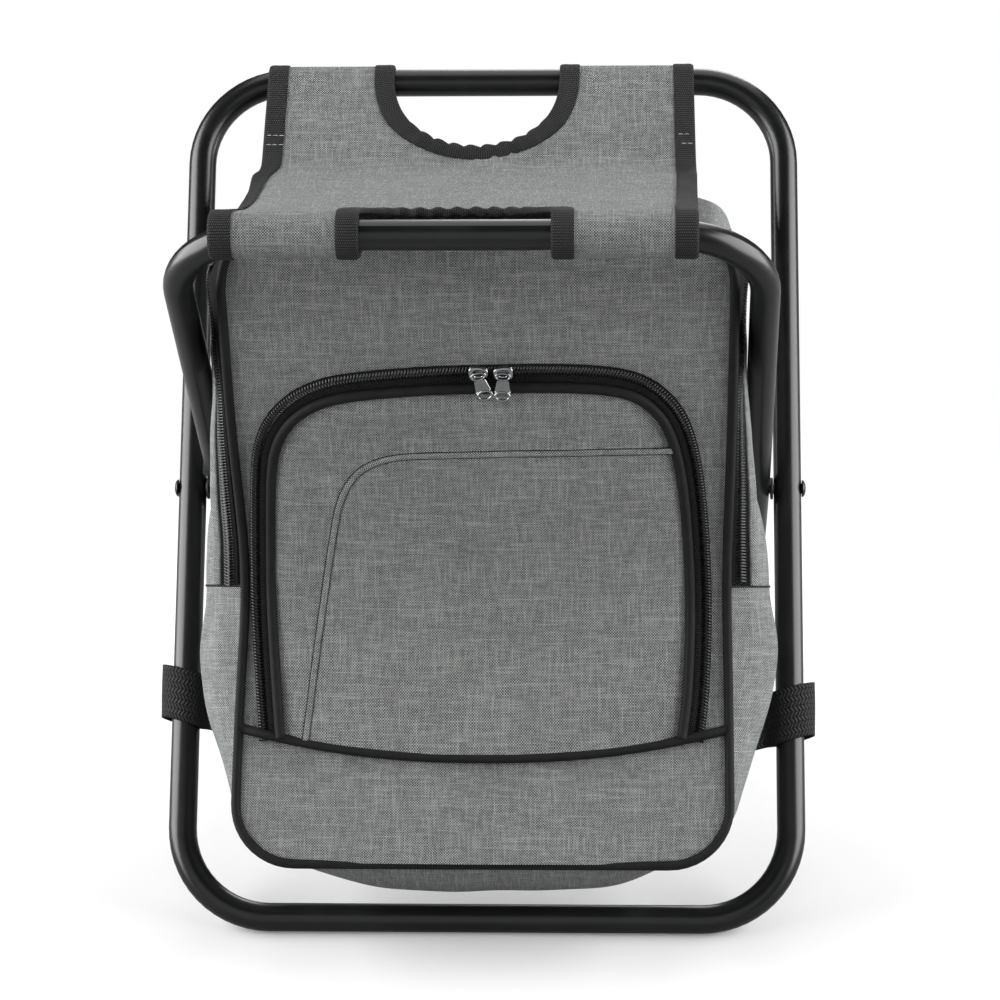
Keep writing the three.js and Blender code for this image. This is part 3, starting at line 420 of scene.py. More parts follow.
@functools.cache
def crinkled_foil():
    """Silver liner film with soft creases."""
    foil = bpy.context.scene.stool_bag.foil
    made = Finish("crinkled_foil")
    place = made.place()
    crease = place.noise(55.0, 5.0, 0.62)
    fold = made.node(
        "ShaderNodeTexVoronoi", {"feature": "DISTANCE_TO_EDGE"}, {"Vector": place, "Scale": 34.0})
    made.set(
        Base_Color=crease.tint(times(foil, 0.72), foil), Metallic=0.75, Roughness=crease * 0.25 + 0.22)
    return made.bump(crease * 0.6 + fold.step(0.0, 0.16) * 0.4, 0.0012, 0.6)


@functools.cache
def sewing_thread(name, shade):
    """Twisted thread."""
    thread = bpy.context.scene.stool_cloth.thread
    made = Finish(name)
    u, v = made.uv(0.0004, 0.0004)
    twist = (u * 0.6 + v).wave()
    made.set(Base_Color=twist.tint(times(thread, 0.55 * shade), times(thread, shade)), Roughness=0.7)
    return made.bump(twist, 0.00008, 0.6)


# Meshes

def mesh_piece(name, points, faces, uvs, material):
    """A new object from points, faces and one UV per point."""
    mesh = bpy.data.meshes.new(name)
    mesh.from_pydata([tuple(p) for p in points], [], [tuple(f) for f in faces])
    layer = mesh.uv_layers.new(name="UVMap")
    corner = np.empty(len(mesh.loops), dtype=np.int32)
    mesh.loops.foreach_get("vertex_index", corner)
    layer.data.foreach_set("uv", np.asarray(uvs, dtype=np.float32)[corner].ravel())
    mesh.polygons.foreach_set("use_smooth", [True] * len(mesh.polygons))
    mesh.materials.append(material)
    mesh.update()
    piece = bpy.data.objects.new(name, mesh)
    bpy.context.scene.collection.objects.link(piece)
    return piece


def settle(piece, slot, body, *nodes):
    """Hides the nodes that a piece stands for and ties the piece to its body; a piece on a bend keeps its
    place and is tied to nothing. The slot is not used.
    """
    if nodes:
        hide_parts(*nodes)
    if body in BENDS:
        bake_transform(piece)
    else:
        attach(piece, body)


def lengths(points):
    """Distance along a row of points, from its start."""
    steps = np.linalg.norm(np.diff(points, axis=0), axis=1)
    return np.concatenate([[0.0], np.cumsum(steps)])


def read(target, source, values):
    """Columns of values given along a line, read at other places on it."""
    return np.stack([np.interp(target, source, column) for column in values.T], axis=-1)


def resample(path, spacing):
    """The same path at an even spacing."""
    place = lengths(path)
    count = max(2, int(round(place[-1] / spacing)) + 1)
    return read(np.linspace(0, place[-1], count), place, path)


def eased(line, rounds):
    """A row of values or points, smoothed between its two ends."""
    for _ in range(rounds):
        line[1:-1] = (line[:-2] + 2 * line[1:-1] + line[2:]) / 4
    return line


def grid_uv(grid):
    """UVs in metres: along the middle column and along each row."""
    rows, columns = grid.shape[:2]
    along = lengths(grid[:, columns // 2])
    uvs = np.zeros((rows, columns, 2))
    for r in range(rows):
        across = lengths(grid[r])
        uvs[r, :, 0] = across - across[-1] / 2
        uvs[r, :, 1] = along[r]
    return uvs


def part_of(grid, uvs, flip=False, caps=False):
    """A grid as (points, faces, uvs), with its two end rows closed if asked."""
    rows, columns = grid.shape[:2]
    points = list(grid.reshape(-1, 3))
    uv_list = list(uvs.reshape(-1, 2))
    first = (np.arange(rows - 1)[:, None] * columns + np.arange(columns - 1)).reshape(-1, 1)
    quads = first + np.array([0, 1, columns + 1, columns])
    faces = (quads[:, ::-1] if flip else quads).tolist()
    if caps:
        for row, turned in ((0, not flip), (rows - 1, flip)):
            middle = len(points)
            points.append(grid[row, :-1].mean(axis=0))
            uv_list.append(uvs[row].mean(axis=0))
            for a in range(row * columns, (row + 1) * columns - 1):
                faces.append((middle, a, a + 1) if turned else (middle, a + 1, a))
    return points, faces, uv_list


def joined(name, parts, material):
    """One object from several (points, faces, uvs) parts."""
    points, faces, uvs = [], [], []
    for part_points, part_faces, part_uvs in parts:
        base = len(points)
        points.extend(part_points)
        faces.extend([tuple(base + i for i in face) for face in part_faces])
        uvs.extend(part_uvs)
    return mesh_piece(name, points, faces, uvs, material)


def grid_piece(name, grid, material, uvs=None, flip=False):
    return joined(name, [part_of(grid, grid_uv(grid) if uvs is None else uvs, flip)], material)


def facing(grid, outward):
    """True if a grid's faces would look against the wanted direction."""
    a = grid[1:, :-1] - grid[:-1, :-1]
    b = grid[:-1, 1:] - grid[:-1, :-1]
    wanted = np.broadcast_to(outward, grid.shape)[:-1, :-1]
    return float((np.cross(b, a) * wanted).sum()) < 0


def unit(vectors):
    size = np.linalg.norm(vectors, axis=-1, keepdims=True)
    return vectors / np.maximum(size, 1e-9)


def squared(normals, along):
    """Normals made square to a direction."""
    return unit(normals - along * (normals * along).sum(axis=1, keepdims=True))


def tangents(path, closed=False):
    if closed:
        return unit(np.roll(path, -1, axis=0) - np.roll(path, 1, axis=0))
    return unit(np.gradient(path, axis=0))


def sweep(path, normals, section, closed_path=False, ring=True, across=None):
    """A section of (across, out) points carried along a path that has a normal at each point."""
    along = tangents(path, closed_path)
    out = squared(np.broadcast_to(normals, path.shape), along)
    side = np.cross(out, along) if across is None else across
    section = np.asarray(section)
    if section.ndim == 2:
        section = np.repeat(section[None], len(path), axis=0)
    if ring:
        section = np.concatenate([section, section[:, :1]], axis=1)
    grid = path[:, None] + side[:, None] * section[..., :1] + out[:, None] * section[..., 1:]
    if closed_path:
        grid = np.concatenate([grid, grid[:1]], axis=0)
    uvs = np.zeros((*grid.shape[:2], 2))
    uvs[..., 0] = lengths(np.pad(section[0], ((0, 0), (0, 1))))[None]
    uvs[..., 1] = lengths(grid[:, 0])[:, None]
    return grid, uvs


def rod(path, normals, section, closed_path=False):
    """A ring section along a path, with closed ends unless the path is a loop."""
    grid, uvs = sweep(path, normals, section, closed_path)
    return part_of(grid, uvs, caps=not closed_path)


def strip(path, normals, profile):
    """An open profile along a path, which faces along the normals."""
    grid, uvs = sweep(path, normals, profile, ring=False)
    return part_of(grid, uvs, facing(grid, normals[:, None]))


def round_section(radius, sides=14):
    angle = np.linspace(0, 2 * np.pi, sides, endpoint=False)
    return np.stack([radius * np.cos(angle), radius * np.sin(angle)], axis=1)


def stitch(path, radius):
    """One stitch along three points."""
    return rod(path, [0.13, -0.6, 0.79], round_section(radius, 5))


def thicken(piece, thickness):
    shell = piece.modifiers.new("thickness", "SOLIDIFY")
    shell.thickness = thickness
    shell.offset = 0.0
    shell.use_even_offset = True


def weld(piece, distance):
    work = bmesh.new()
    work.from_mesh(piece.data)
    bmesh.ops.remove_doubles(work, verts=work.verts, dist=distance)
    bmesh.ops.recalc_face_normals(work, faces=work.faces)
    work.to_mesh(piece.data)
    work.free()
    piece.data.update()


def spline(points, t):
    """A smooth curve through evenly numbered points, for t from 0 to 1."""
    points = np.asarray(points, dtype=float)
    last = len(points) - 1
    place = np.clip(np.asarray(t, dtype=float), 0, 1) * last
    i = np.minimum(place.astype(int), last - 1)
    w = place - i
    p0, p1 = points[np.maximum(i - 1, 0)], points[i]
    p2, p3 = points[i + 1], points[np.minimum(i + 2, last)]
    if points.ndim > 1:
        w = w[..., None]
    v0, v1 = (p2 - p0) / 2, (p3 - p1) / 2
    return ((2 * p1 - 2 * p2 + v0 + v1) * w ** 3
            + (-3 * p1 + 3 * p2 - 2 * v0 - v1) * w ** 2 + v0 * w + p1)


def smooth(low, high, value):
    t = np.clip((np.asarray(value, dtype=float) - low) / (high - low), 0, 1)
    return t * t * (3 - 2 * t)


def in_space(x, yz):
    return np.concatenate([np.asarray(x, dtype=float)[..., None], yz], axis=-1)


def raised(yz, rise):
    return yz + np.stack([np.zeros_like(rise), rise], axis=-1)


def ripple(x, y, size, seed):
    """A smooth, repeatable unevenness of about one unit."""
    a = np.sin(x / size * 1.7 + seed) * np.cos(y / size * 1.3 - 2 * seed)
    b = np.sin((x + 0.6 * y) / size * 2.9 + 1.7 * seed) * np.sin((y - 0.4 * x) / size * 2.3 + seed)
    return 0.6 * a + 0.4 * b


# Tube loops

def loop_line(width, foot_y, top_y, radius, steps=14):
    """A loop's closed middle line and the direction across its plane."""
    half = width / 2 - radius
    corners = [
        (half, LOOP_LENGTH - radius, 90), (half, radius, 0),
        (-half, radius, -90), (-half, LOOP_LENGTH - radius, -180),
    ]
    points = []
    for x, z, start in corners:
        for i in range(steps + 1):
            angle = math.radians(start - 90 * i / steps)
            points.append((x + radius * math.cos(angle), z + radius * math.sin(angle)))
    points = np.array(points)
    dense = []
    for a, b in zip(points, np.roll(points, -1, axis=0)):
        count = max(1, int(np.linalg.norm(b - a) / 0.03))
        dense.extend(a + (b - a) * i / count for i in range(count))
    x, far = np.array(dense).T
    way = math.copysign(1.0, top_y - foot_y)
    path = np.stack([x, foot_y + way * math.sin(LEAN) * far, FOOT_Z + math.cos(LEAN) * far], axis=1)
    return path, np.array([0.0, -math.cos(LEAN), way * math.sin(LEAN)])


class STOOL_OT_tube_loops(bpy.types.Operator):
    """Make both bent tube loops"""

    bl_idname = "stool.tube_loops"
    bl_label = "Tube loops"

    def execute(self, context):
        look = context.scene.stool_frame
        section = round_section(look.tube_diameter / 2, 28)
        for side, width, foot, top in (("outer", OUTER_WIDTH, 0, 1), ("inner", INNER_WIDTH, 1, 0)):
            path, normal = loop_line(width, FOOT_Y[foot], FOOT_Y[top], look.bend_radius)
            if side == "inner":
                rise = np.clip((path[:, 2] - PIVOT[1]) / (path[:, 2].max() - PIVOT[1]), 0, 1)
                path[:, 0] += INNER_SKEW * rise
            tube = joined(f"{side}_tube", [rod(path, normal, section, True)], gloss_paint())
            settle(tube, "black_paint", f"{side}_frame", f"{side}_loop_tube")
            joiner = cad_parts[f"{side}_loop_joiner"]
            joiner.data.materials.clear()
            joiner.data.materials.append(bare_steel())
        return {"FINISHED"}


def turned_piece(name, profile, material, sides=28):
    """A round piece about the pivot's line, from (x, radius) points."""
    profile = np.asarray(profile)
    x, radius = profile[:, :1], profile[:, 1:]
    angle = np.linspace(0, 2 * np.pi, sides + 1)
    grid = np.zeros((len(profile), sides + 1, 3))
    grid[..., 0] = x
    grid[..., 1] = PIVOT[0] + radius * np.cos(angle)
    grid[..., 2] = PIVOT[1] + radius * np.sin(angle)
    uvs = np.zeros((len(profile), sides + 1, 2))
    uvs[..., 0] = angle * radius.max()
    uvs[..., 1] = lengths(np.pad(profile, ((0, 0), (0, 1))))[:, None]
    return grid_piece(name, grid, material, uvs)


class STOOL_OT_pivots(bpy.types.Operator):
    """Make the pivot rivets, spacers and washers"""

    bl_idname = "stool.pivots"
    bl_label = "Pivot hardware"

    head = 0.0022
    head_radius = 0.005
    shank_radius = 0.003
    hole_radius = 0.0033
    soft_edge = 0.0003

    def execute(self, context):
        dome = np.linspace(0.25, np.pi / 2, 6)
        end = np.array([
            (0.0, 1e-5), *zip(self.head * (1 - np.cos(dome)), self.head_radius * np.sin(dome)),
            (self.head, 0.0049), (self.head, self.shank_radius)])
        for side in ("left", "right"):
            low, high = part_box(f"pivot_rivet_{side}")
            profile = np.concatenate([end + [low[0], 0], (end * [-1, 1] + [high[0], 0])[::-1]])
            rivet = turned_piece(f"rivet_{side}", profile, gloss_paint())
            settle(rivet, "black_paint", "outer_frame", f"pivot_rivet_{side}")
            for kind, material, slot in (
                    ("spacer", moulded_nylon(), "nylon"), ("washer", bare_steel(), "bare_steel")):
                low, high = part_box(f"pivot_{kind}_{side}")
                radius = (high[2] - low[2]) / 2
                soft = self.soft_edge
                ring = [
                    (low[0], self.hole_radius), (low[0], radius - soft), (low[0] + soft, radius),
                    (high[0] - soft, radius), (high[0], radius - soft), (high[0], self.hole_radius),
                    (low[0], self.hole_radius),
                ]
                piece = turned_piece(f"{kind}_{side}", ring, material)
                settle(piece, slot, "outer_frame", f"pivot_{kind}_{side}")
        return {"FINISHED"}


# Sling seat

class SeatLine:
    """The seat's side view: round the rear bar, down to the crease, and on round the front bar."""

    rear_radius = 0.0101
    front_radius = 0.0113
    rear_lap = 0.047
    front_lap = 0.024
    lap_gap = 0.0028
    lap_slope = 0.02
    hold_half = 0.0495
    hold_depth = 0.0470
    hold_power = 2.15
    crease_turn = 0.010
    hang = 0.0022
    rear_tuck = 0.0035
    front_tuck = 0.0025
    curl_reach = 0.021
    left_curl = 0.0070
    right_curl = 0.0028
    hold_curl = 0.0042
    waves = 0.0006
    crease_waves = 0.0010
    left_stops = (-0.1308, -0.1330, -0.1360, -0.1290, -0.1290, -0.1330)
    right_stops = (0.1170, 0.1180, 0.1180, 0.1140, 0.1130, 0.1130)

    def __init__(self):
        rear_on, rear_under = self.touch(REAR_SLEEVE, self.rear_radius)
        front_on, front_under = self.touch(FRONT_SLEEVE, self.front_radius)
        rear = self.around(REAR_SLEEVE, rear_under, rear_on, self.rear_radius)
        front = self.around(FRONT_SLEEVE, front_on, front_under, self.front_radius)
        rear_lap = self.lap(rear_under, rear_on, self.rear_lap)
        front_lap = self.lap(front_under, front_on, self.front_lap)[::-1]
        into = CREASE + unit(rear_on - CREASE) * self.crease_turn
        away = CREASE + unit(front_on - CREASE) * self.crease_turn * 1.6
        t = np.linspace(0, 1, 7)[:, None]
        bend = (1 - t) ** 2 * into + 2 * t * (1 - t) * CREASE + t ** 2 * away
        slope = np.linspace(0, 1, 44)[1:-1, None]
        sag = -self.hang * np.sin(np.pi * slope) ** 2 * np.array([[0.0, 1.0]])
        long_run = away + (front_on - away) * slope + sag
        steep = rear_on + (into - rear_on) * np.linspace(0, 1, 16)[1:-1, None]
        pieces = [rear_lap, rear, steep, bend, long_run, front, front_lap]
        self.points = resample(np.concatenate(pieces), 0.0015)
        self.place = lengths(self.points)
        run = np.gradient(self.points, axis=0)
        self.normals = unit(np.stack([run[:, 1], -run[:, 0]], axis=1))
        self.rear_on = lengths(np.concatenate(pieces[:2]))[-1]
        self.front_on = lengths(np.concatenate(pieces[:5] + [front[:1]]))[-1]
        self.crease = lengths(np.concatenate(pieces[:4]))[-1] - 0.012
        self.total = self.place[-1]
        self.left_line = self.edge_line(self.left_stops, 1)
        self.right_line = self.edge_line(self.right_stops, -1)

    def edge_line(self, xs, inward):
        """A free edge's x along the cloth, drawn in at the crease and tucked in on the laps."""
        front = self.front_on
        stops = (self.rear_on, self.crease, self.crease + 0.015, front - 0.045, front - 0.020, front)
        padded = np.pad(np.interp(self.place, stops, xs), 5, mode="edge")
        x = np.convolve(padded, np.ones(11) / 11, mode="valid")
        tuck = self.rear_tuck * (1 - smooth(0.018, self.rear_lap, self.place))
        tuck = tuck + self.front_tuck * smooth(self.total - 0.026, self.total - 0.006, self.place)
        return x + inward * tuck

    @staticmethod
    def touch(middle, radius):
        """Where cloth from the crease meets a bar's sleeve, above and below it."""
        away = middle - CREASE
        far = np.linalg.norm(away)
        base = math.atan2(away[1], away[0])
        open_angle = math.asin(radius / far)
        long = math.sqrt(far ** 2 - radius ** 2)
        ends = [
            CREASE + long * np.array([math.cos(base + s * open_angle), math.sin(base + s * open_angle)])
            for s in (1, -1)]
        return sorted(ends, key=lambda p: -p[1])

    @staticmethod
    def around(middle, start, stop, radius):
        """The arc round a bar, by the far side from the crease."""
        a0 = math.atan2(*(start - middle)[::-1])
        a1 = math.atan2(*(stop - middle)[::-1])
        far = math.atan2(*(middle - CREASE)[::-1])
        sweep_angle = (a1 - a0) % (2 * math.pi)
        if not (far - a0) % (2 * math.pi) < sweep_angle:
            sweep_angle -= 2 * math.pi
        angle = a0 + np.linspace(0, 1, 26) * sweep_angle
        return middle + radius * np.stack([np.cos(angle), np.sin(angle)], axis=1)

    def lap(self, under, on, reach):
        """The turned-under end, which comes up to the cloth that it is sewn to."""
        start = under + unit(CREASE - under) * reach
        share = np.linspace(0, 1, 12)[:-1, None]
        line = start + (under - start) * share
        run = unit(on - CREASE)
        normal = np.array([-run[1], run[0]])
        normal = normal if normal[1] > 0 else -normal
        gap = (line - CREASE) @ normal
        if np.all(gap < -self.lap_gap):
            return line
        wanted = np.maximum(-self.lap_gap - share[:, 0] * self.lap_slope, gap)
        return line + (wanted - gap)[:, None] * normal

    def normal(self, place):
        return unit(read(place, self.place, self.normals))

    def left(self, place):
        return np.interp(place, self.place, self.left_line)

    def right(self, place):
        return np.interp(place, self.place, self.right_line)

    def curl(self, x, place):
        """How far the free edges and the front hand-hold hang below the stretched line."""
        front = smooth(self.crease + 0.004, self.crease + 0.05, place)
        front = front * smooth(0, 0.03, self.front_on - place)
        left = np.clip(1 - (x - self.left(place)) / self.curl_reach, 0, 1) ** 2
        right = np.clip(1 - (self.right(place) - x) / self.curl_reach, 0, 1) ** 2
        hold = np.exp(-((x - SEAT_MIDDLE) / 0.058) ** 2)
        hold = hold * np.exp(-((place - self.front_on + self.hold_depth) / 0.034) ** 2)
        return front * (self.left_curl * left + self.right_curl * right + self.hold_curl * hold)

    def inward(self, x, place, sign):
        """The direction from a free edge into the cloth."""
        return unit(self.spot(x + sign * 0.006, place) - self.spot(x, place))

    def hold(self, place):
        """Half the width of the hand-hold's cut at a place along the cloth."""
        deep = np.minimum(np.asarray(place) - self.rear_on, self.front_on - np.asarray(place))
        share = np.clip(deep / self.hold_depth, 0, 1)
        return self.hold_half * (1 - share ** self.hold_power) ** (1 / self.hold_power)

    def rows(self):
        """Places along the cloth, close together where the hand-holds end."""
        deep = self.hold_depth * np.sin(np.linspace(0, np.pi / 2, 26)) ** 0.85
        rear, front = self.rear_on + deep, self.front_on - deep
        even = np.linspace(0, self.total, 150)
        keep = even[(even < self.rear_on) | (even > self.front_on)
                    | ((even > rear[-1] + 0.001) & (even < front[-1] - 0.001))]
        return np.sort(np.concatenate([keep, rear, front]))

    def lift(self, x, place):
        """Soft unevenness of the stretched cloth, less its hang at the edges."""
        free = smooth(0, 0.02, place - self.rear_on) * smooth(0, 0.02, self.front_on - place)
        near_crease = np.exp(-((place - self.crease) / 0.022) ** 2)
        uneven = free * (self.waves * ripple(x, place, 0.030, 1.3)
                         + self.crease_waves * near_crease * ripple(x, place, 0.016, 4.1))
        return uneven - self.curl(x, place)

    def spot(self, x, place, out=0.0):
        high = np.asarray(self.lift(x, place)) + out
        return in_space(x, read(place, self.place, self.points) + self.normal(place) * high[..., None])


class STOOL_OT_seat(bpy.types.Operator):
    """Make the sling seat with its sleeves and hand-holds"""

    bl_idname = "stool.seat"
    bl_label = "Seat cloth"

    columns = 34
    thickness = 0.0013

    def execute(self, context):
        line = SeatLine()
        rows = line.rows()
        halves = []
        for side, edge in ((-1, line.left), (1, line.right)):
            outer = edge(rows)
            inner = SEAT_MIDDLE + side * line.hold(rows)
            x = outer[:, None] + (inner - outer)[:, None] * np.linspace(0, 1, self.columns)[None]
            place = np.repeat(rows[:, None], self.columns, axis=1)
            halves.append(part_of(line.spot(x, place), np.stack([x, place], axis=-1), side > 0))
        seat = joined("seat_cloth", halves, melange_cloth())
        weld(seat, 1e-5)
        thicken(seat, self.thickness)
        span = line.right(rows) - line.left(rows) - 2 * line.hold(rows)
        cut = np.sum((span[1:] + span[:-1]) / 2 * np.diff(rows))
        settle(
            seat, "seat_cloth", "seat", "seat_panel", "seat_sleeve_rear_left", "seat_sleeve_rear_right",
            "seat_sleeve_front_left", "seat_sleeve_front_right")
        return {"FINISHED"}


def binding_section(width, count):
    """A tape folded over an edge: (into the cloth, out of it) points at each place."""
    half = np.array([
        (width, 0.0009), (width * 0.97, 0.0014), (width * 0.8, 0.00155), (width * 0.5, 0.0015),
        (width * 0.2, 0.0016), (0.0004, 0.0015), (-0.0007, 0.0009)])
    shape = np.concatenate([half, [(-0.0010, 0.0)], half[::-1] * [1, -1]])
    return np.repeat(shape[None], count, axis=0)


class STOOL_OT_seat_bindings(bpy.types.Operator):
    """Make the tape bindings on the seat's edges and hand-holds, and the rows of stitches"""

    bl_idname = "stool.seat_bindings"
    bl_label = "Seat bindings"

    gather = 0.0095
    stitch_places = (0.0385, 0.0445)
    stitch_pitch = 0.0036
    stitch_length = 0.0026
    stitch_bow = np.array([-0.0004, 0.0002, -0.0004])
    edge_tape = 0.0105
    hold_tape = 0.0115

    def execute(self, context):
        line = SeatLine()
        width = context.scene.stool_cloth.binding_width
        place = np.linspace(0, line.total, 260)
        for side, edge, sign in (("left", line.left, 1.0), ("right", line.right, -1.0)):
            x = edge(place)
            across = line.inward(x, place, sign)
            normals = squared(in_space(np.zeros(len(place)), line.normal(place)), across)
            section = binding_section(width, len(place))
            grid, uvs = sweep(line.spot(x, place), normals, section, False, False, across)
            piece = joined(f"seat_tape_{side}", [part_of(grid, uvs, sign > 0)], ribbed_tape())
            settle(piece, "black_tape", "seat", f"seat_binding_{side}")
        for end, body in (("rear", "outer_frame"), ("front", "seat")):
            piece = self.hold_binding(line, end, width)
            settle(piece, "black_tape", body, f"handhold_binding_{end}")
        self.stitch_rows(line)
        return {"FINISHED"}

    def hold_binding(self, line, end, width):
        """The tape round a hand-hold, gathered into scallops where its curve is tight."""
        angle = np.linspace(0, np.pi / 2, 90)
        power = 2 / line.hold_power
        ends = {"rear": (0, line.rear_on, 1, 60), "front": (line.total, line.front_on, -1, 40)}
        start, bar, way, count = ends[end]
        straight = np.linspace(start, bar, count)[:-1]
        place = np.concatenate([straight, bar + way * line.hold_depth * np.sin(angle) ** power])
        half = line.hold_half * np.concatenate([np.ones(len(straight)), np.cos(angle) ** power])
        place = np.concatenate([place, place[-2::-1]])
        x = SEAT_MIDDLE + np.concatenate([-half, half[-2::-1]])
        flat = resample(np.stack([x, place], axis=1), 0.0011)
        x, place = flat.T
        along = lengths(flat)
        inside = (place > line.rear_on) & (place < line.front_on)
        tight = np.where(inside, smooth(0.022, 0.048, np.abs(place - bar)), 0.0)
        path = line.spot(x, place)
        normals = in_space(np.zeros(len(place)), line.normal(place))
        section = binding_section(width * 0.98, len(place))
        scallop = np.abs(np.sin(along / self.gather * np.pi)) ** 0.7
        section[:, :5, 0] *= (1 - 0.34 * tight)[:, None]
        section[:, 10:, 0] *= (1 - 0.34 * tight)[:, None]
        section[:, 5:10, 0] -= (tight * 0.0017 * scallop)[:, None]
        section[:, 3:12, 1] *= (1 + 0.5 * tight * scallop)[:, None]
        section[:, :, 1] += (tight * 0.0006 * np.sin(along / self.gather * 2 * np.pi))[:, None]
        across = np.cross(normals, tangents(path))
        if np.sum(across[:, 0] * (x - SEAT_MIDDLE)) < 0:
            across = -across
        grid, uvs = sweep(path, normals, section, False, False, unit(across))
        return joined(f"handhold_tape_{end}", [part_of(grid, uvs, end == "rear")], ribbed_tape())

    def stitch_rows(self, line):
        """Two rows of stitches that close the rear sleeves: pale on the bindings, grey on the cloth."""
        parts = {"pale": [], "grey": []}
        for step in self.stitch_places:
            place = line.rear_on + step
            left, right, gap = (float(edge(place)) for edge in (line.left, line.right, line.hold))
            for x0, x1 in ((left, SEAT_MIDDLE - gap), (SEAT_MIDDLE + gap, right)):
                for x in np.arange(x0 + 0.001, x1 - 0.003, self.stitch_pitch):
                    if abs(x - SEAT_MIDDLE) - gap < self.hold_tape:
                        continue
                    on_tape = min(x - left, right - x) < self.edge_tape
                    kind, out, thick = ("pale", 0.0017, 0.00028) if on_tape else ("grey", 0.0006, 0.0002)
                    spots = x + self.stitch_length * np.array([0.0, 0.5, 1.0])
                    path = line.spot(spots, np.full(3, place), out + self.stitch_bow)
                    parts[kind].append(stitch(path, thick))
        for kind, shade in (("pale", 1.0), ("grey", 0.3)):
            piece = joined(f"seat_stitches_{kind}", parts[kind], sewing_thread(f"{kind}_thread", shade))
            settle(piece, "seat_cloth", "outer_frame")


# Cooler bag

def side_shape(places, shares):
    """A smooth line through the places where a side swells."""
    d = np.linspace(0, 1, 101)
    return d, eased(np.interp(d, places, shares), 10)


LOW_SIDE = side_shape([0, 0.12, 0.33, 0.60, 0.85, 1.0], [0, 0.58, 1.0, 0.25, 0.0, 0.0])
HIGH_SIDE = side_shape([0, 0.09, 0.20, 0.40, 0.55, 0.80, 1.0], [0, 0.80, 1.0, 0.80, 0.60, 0.1, 0.0])


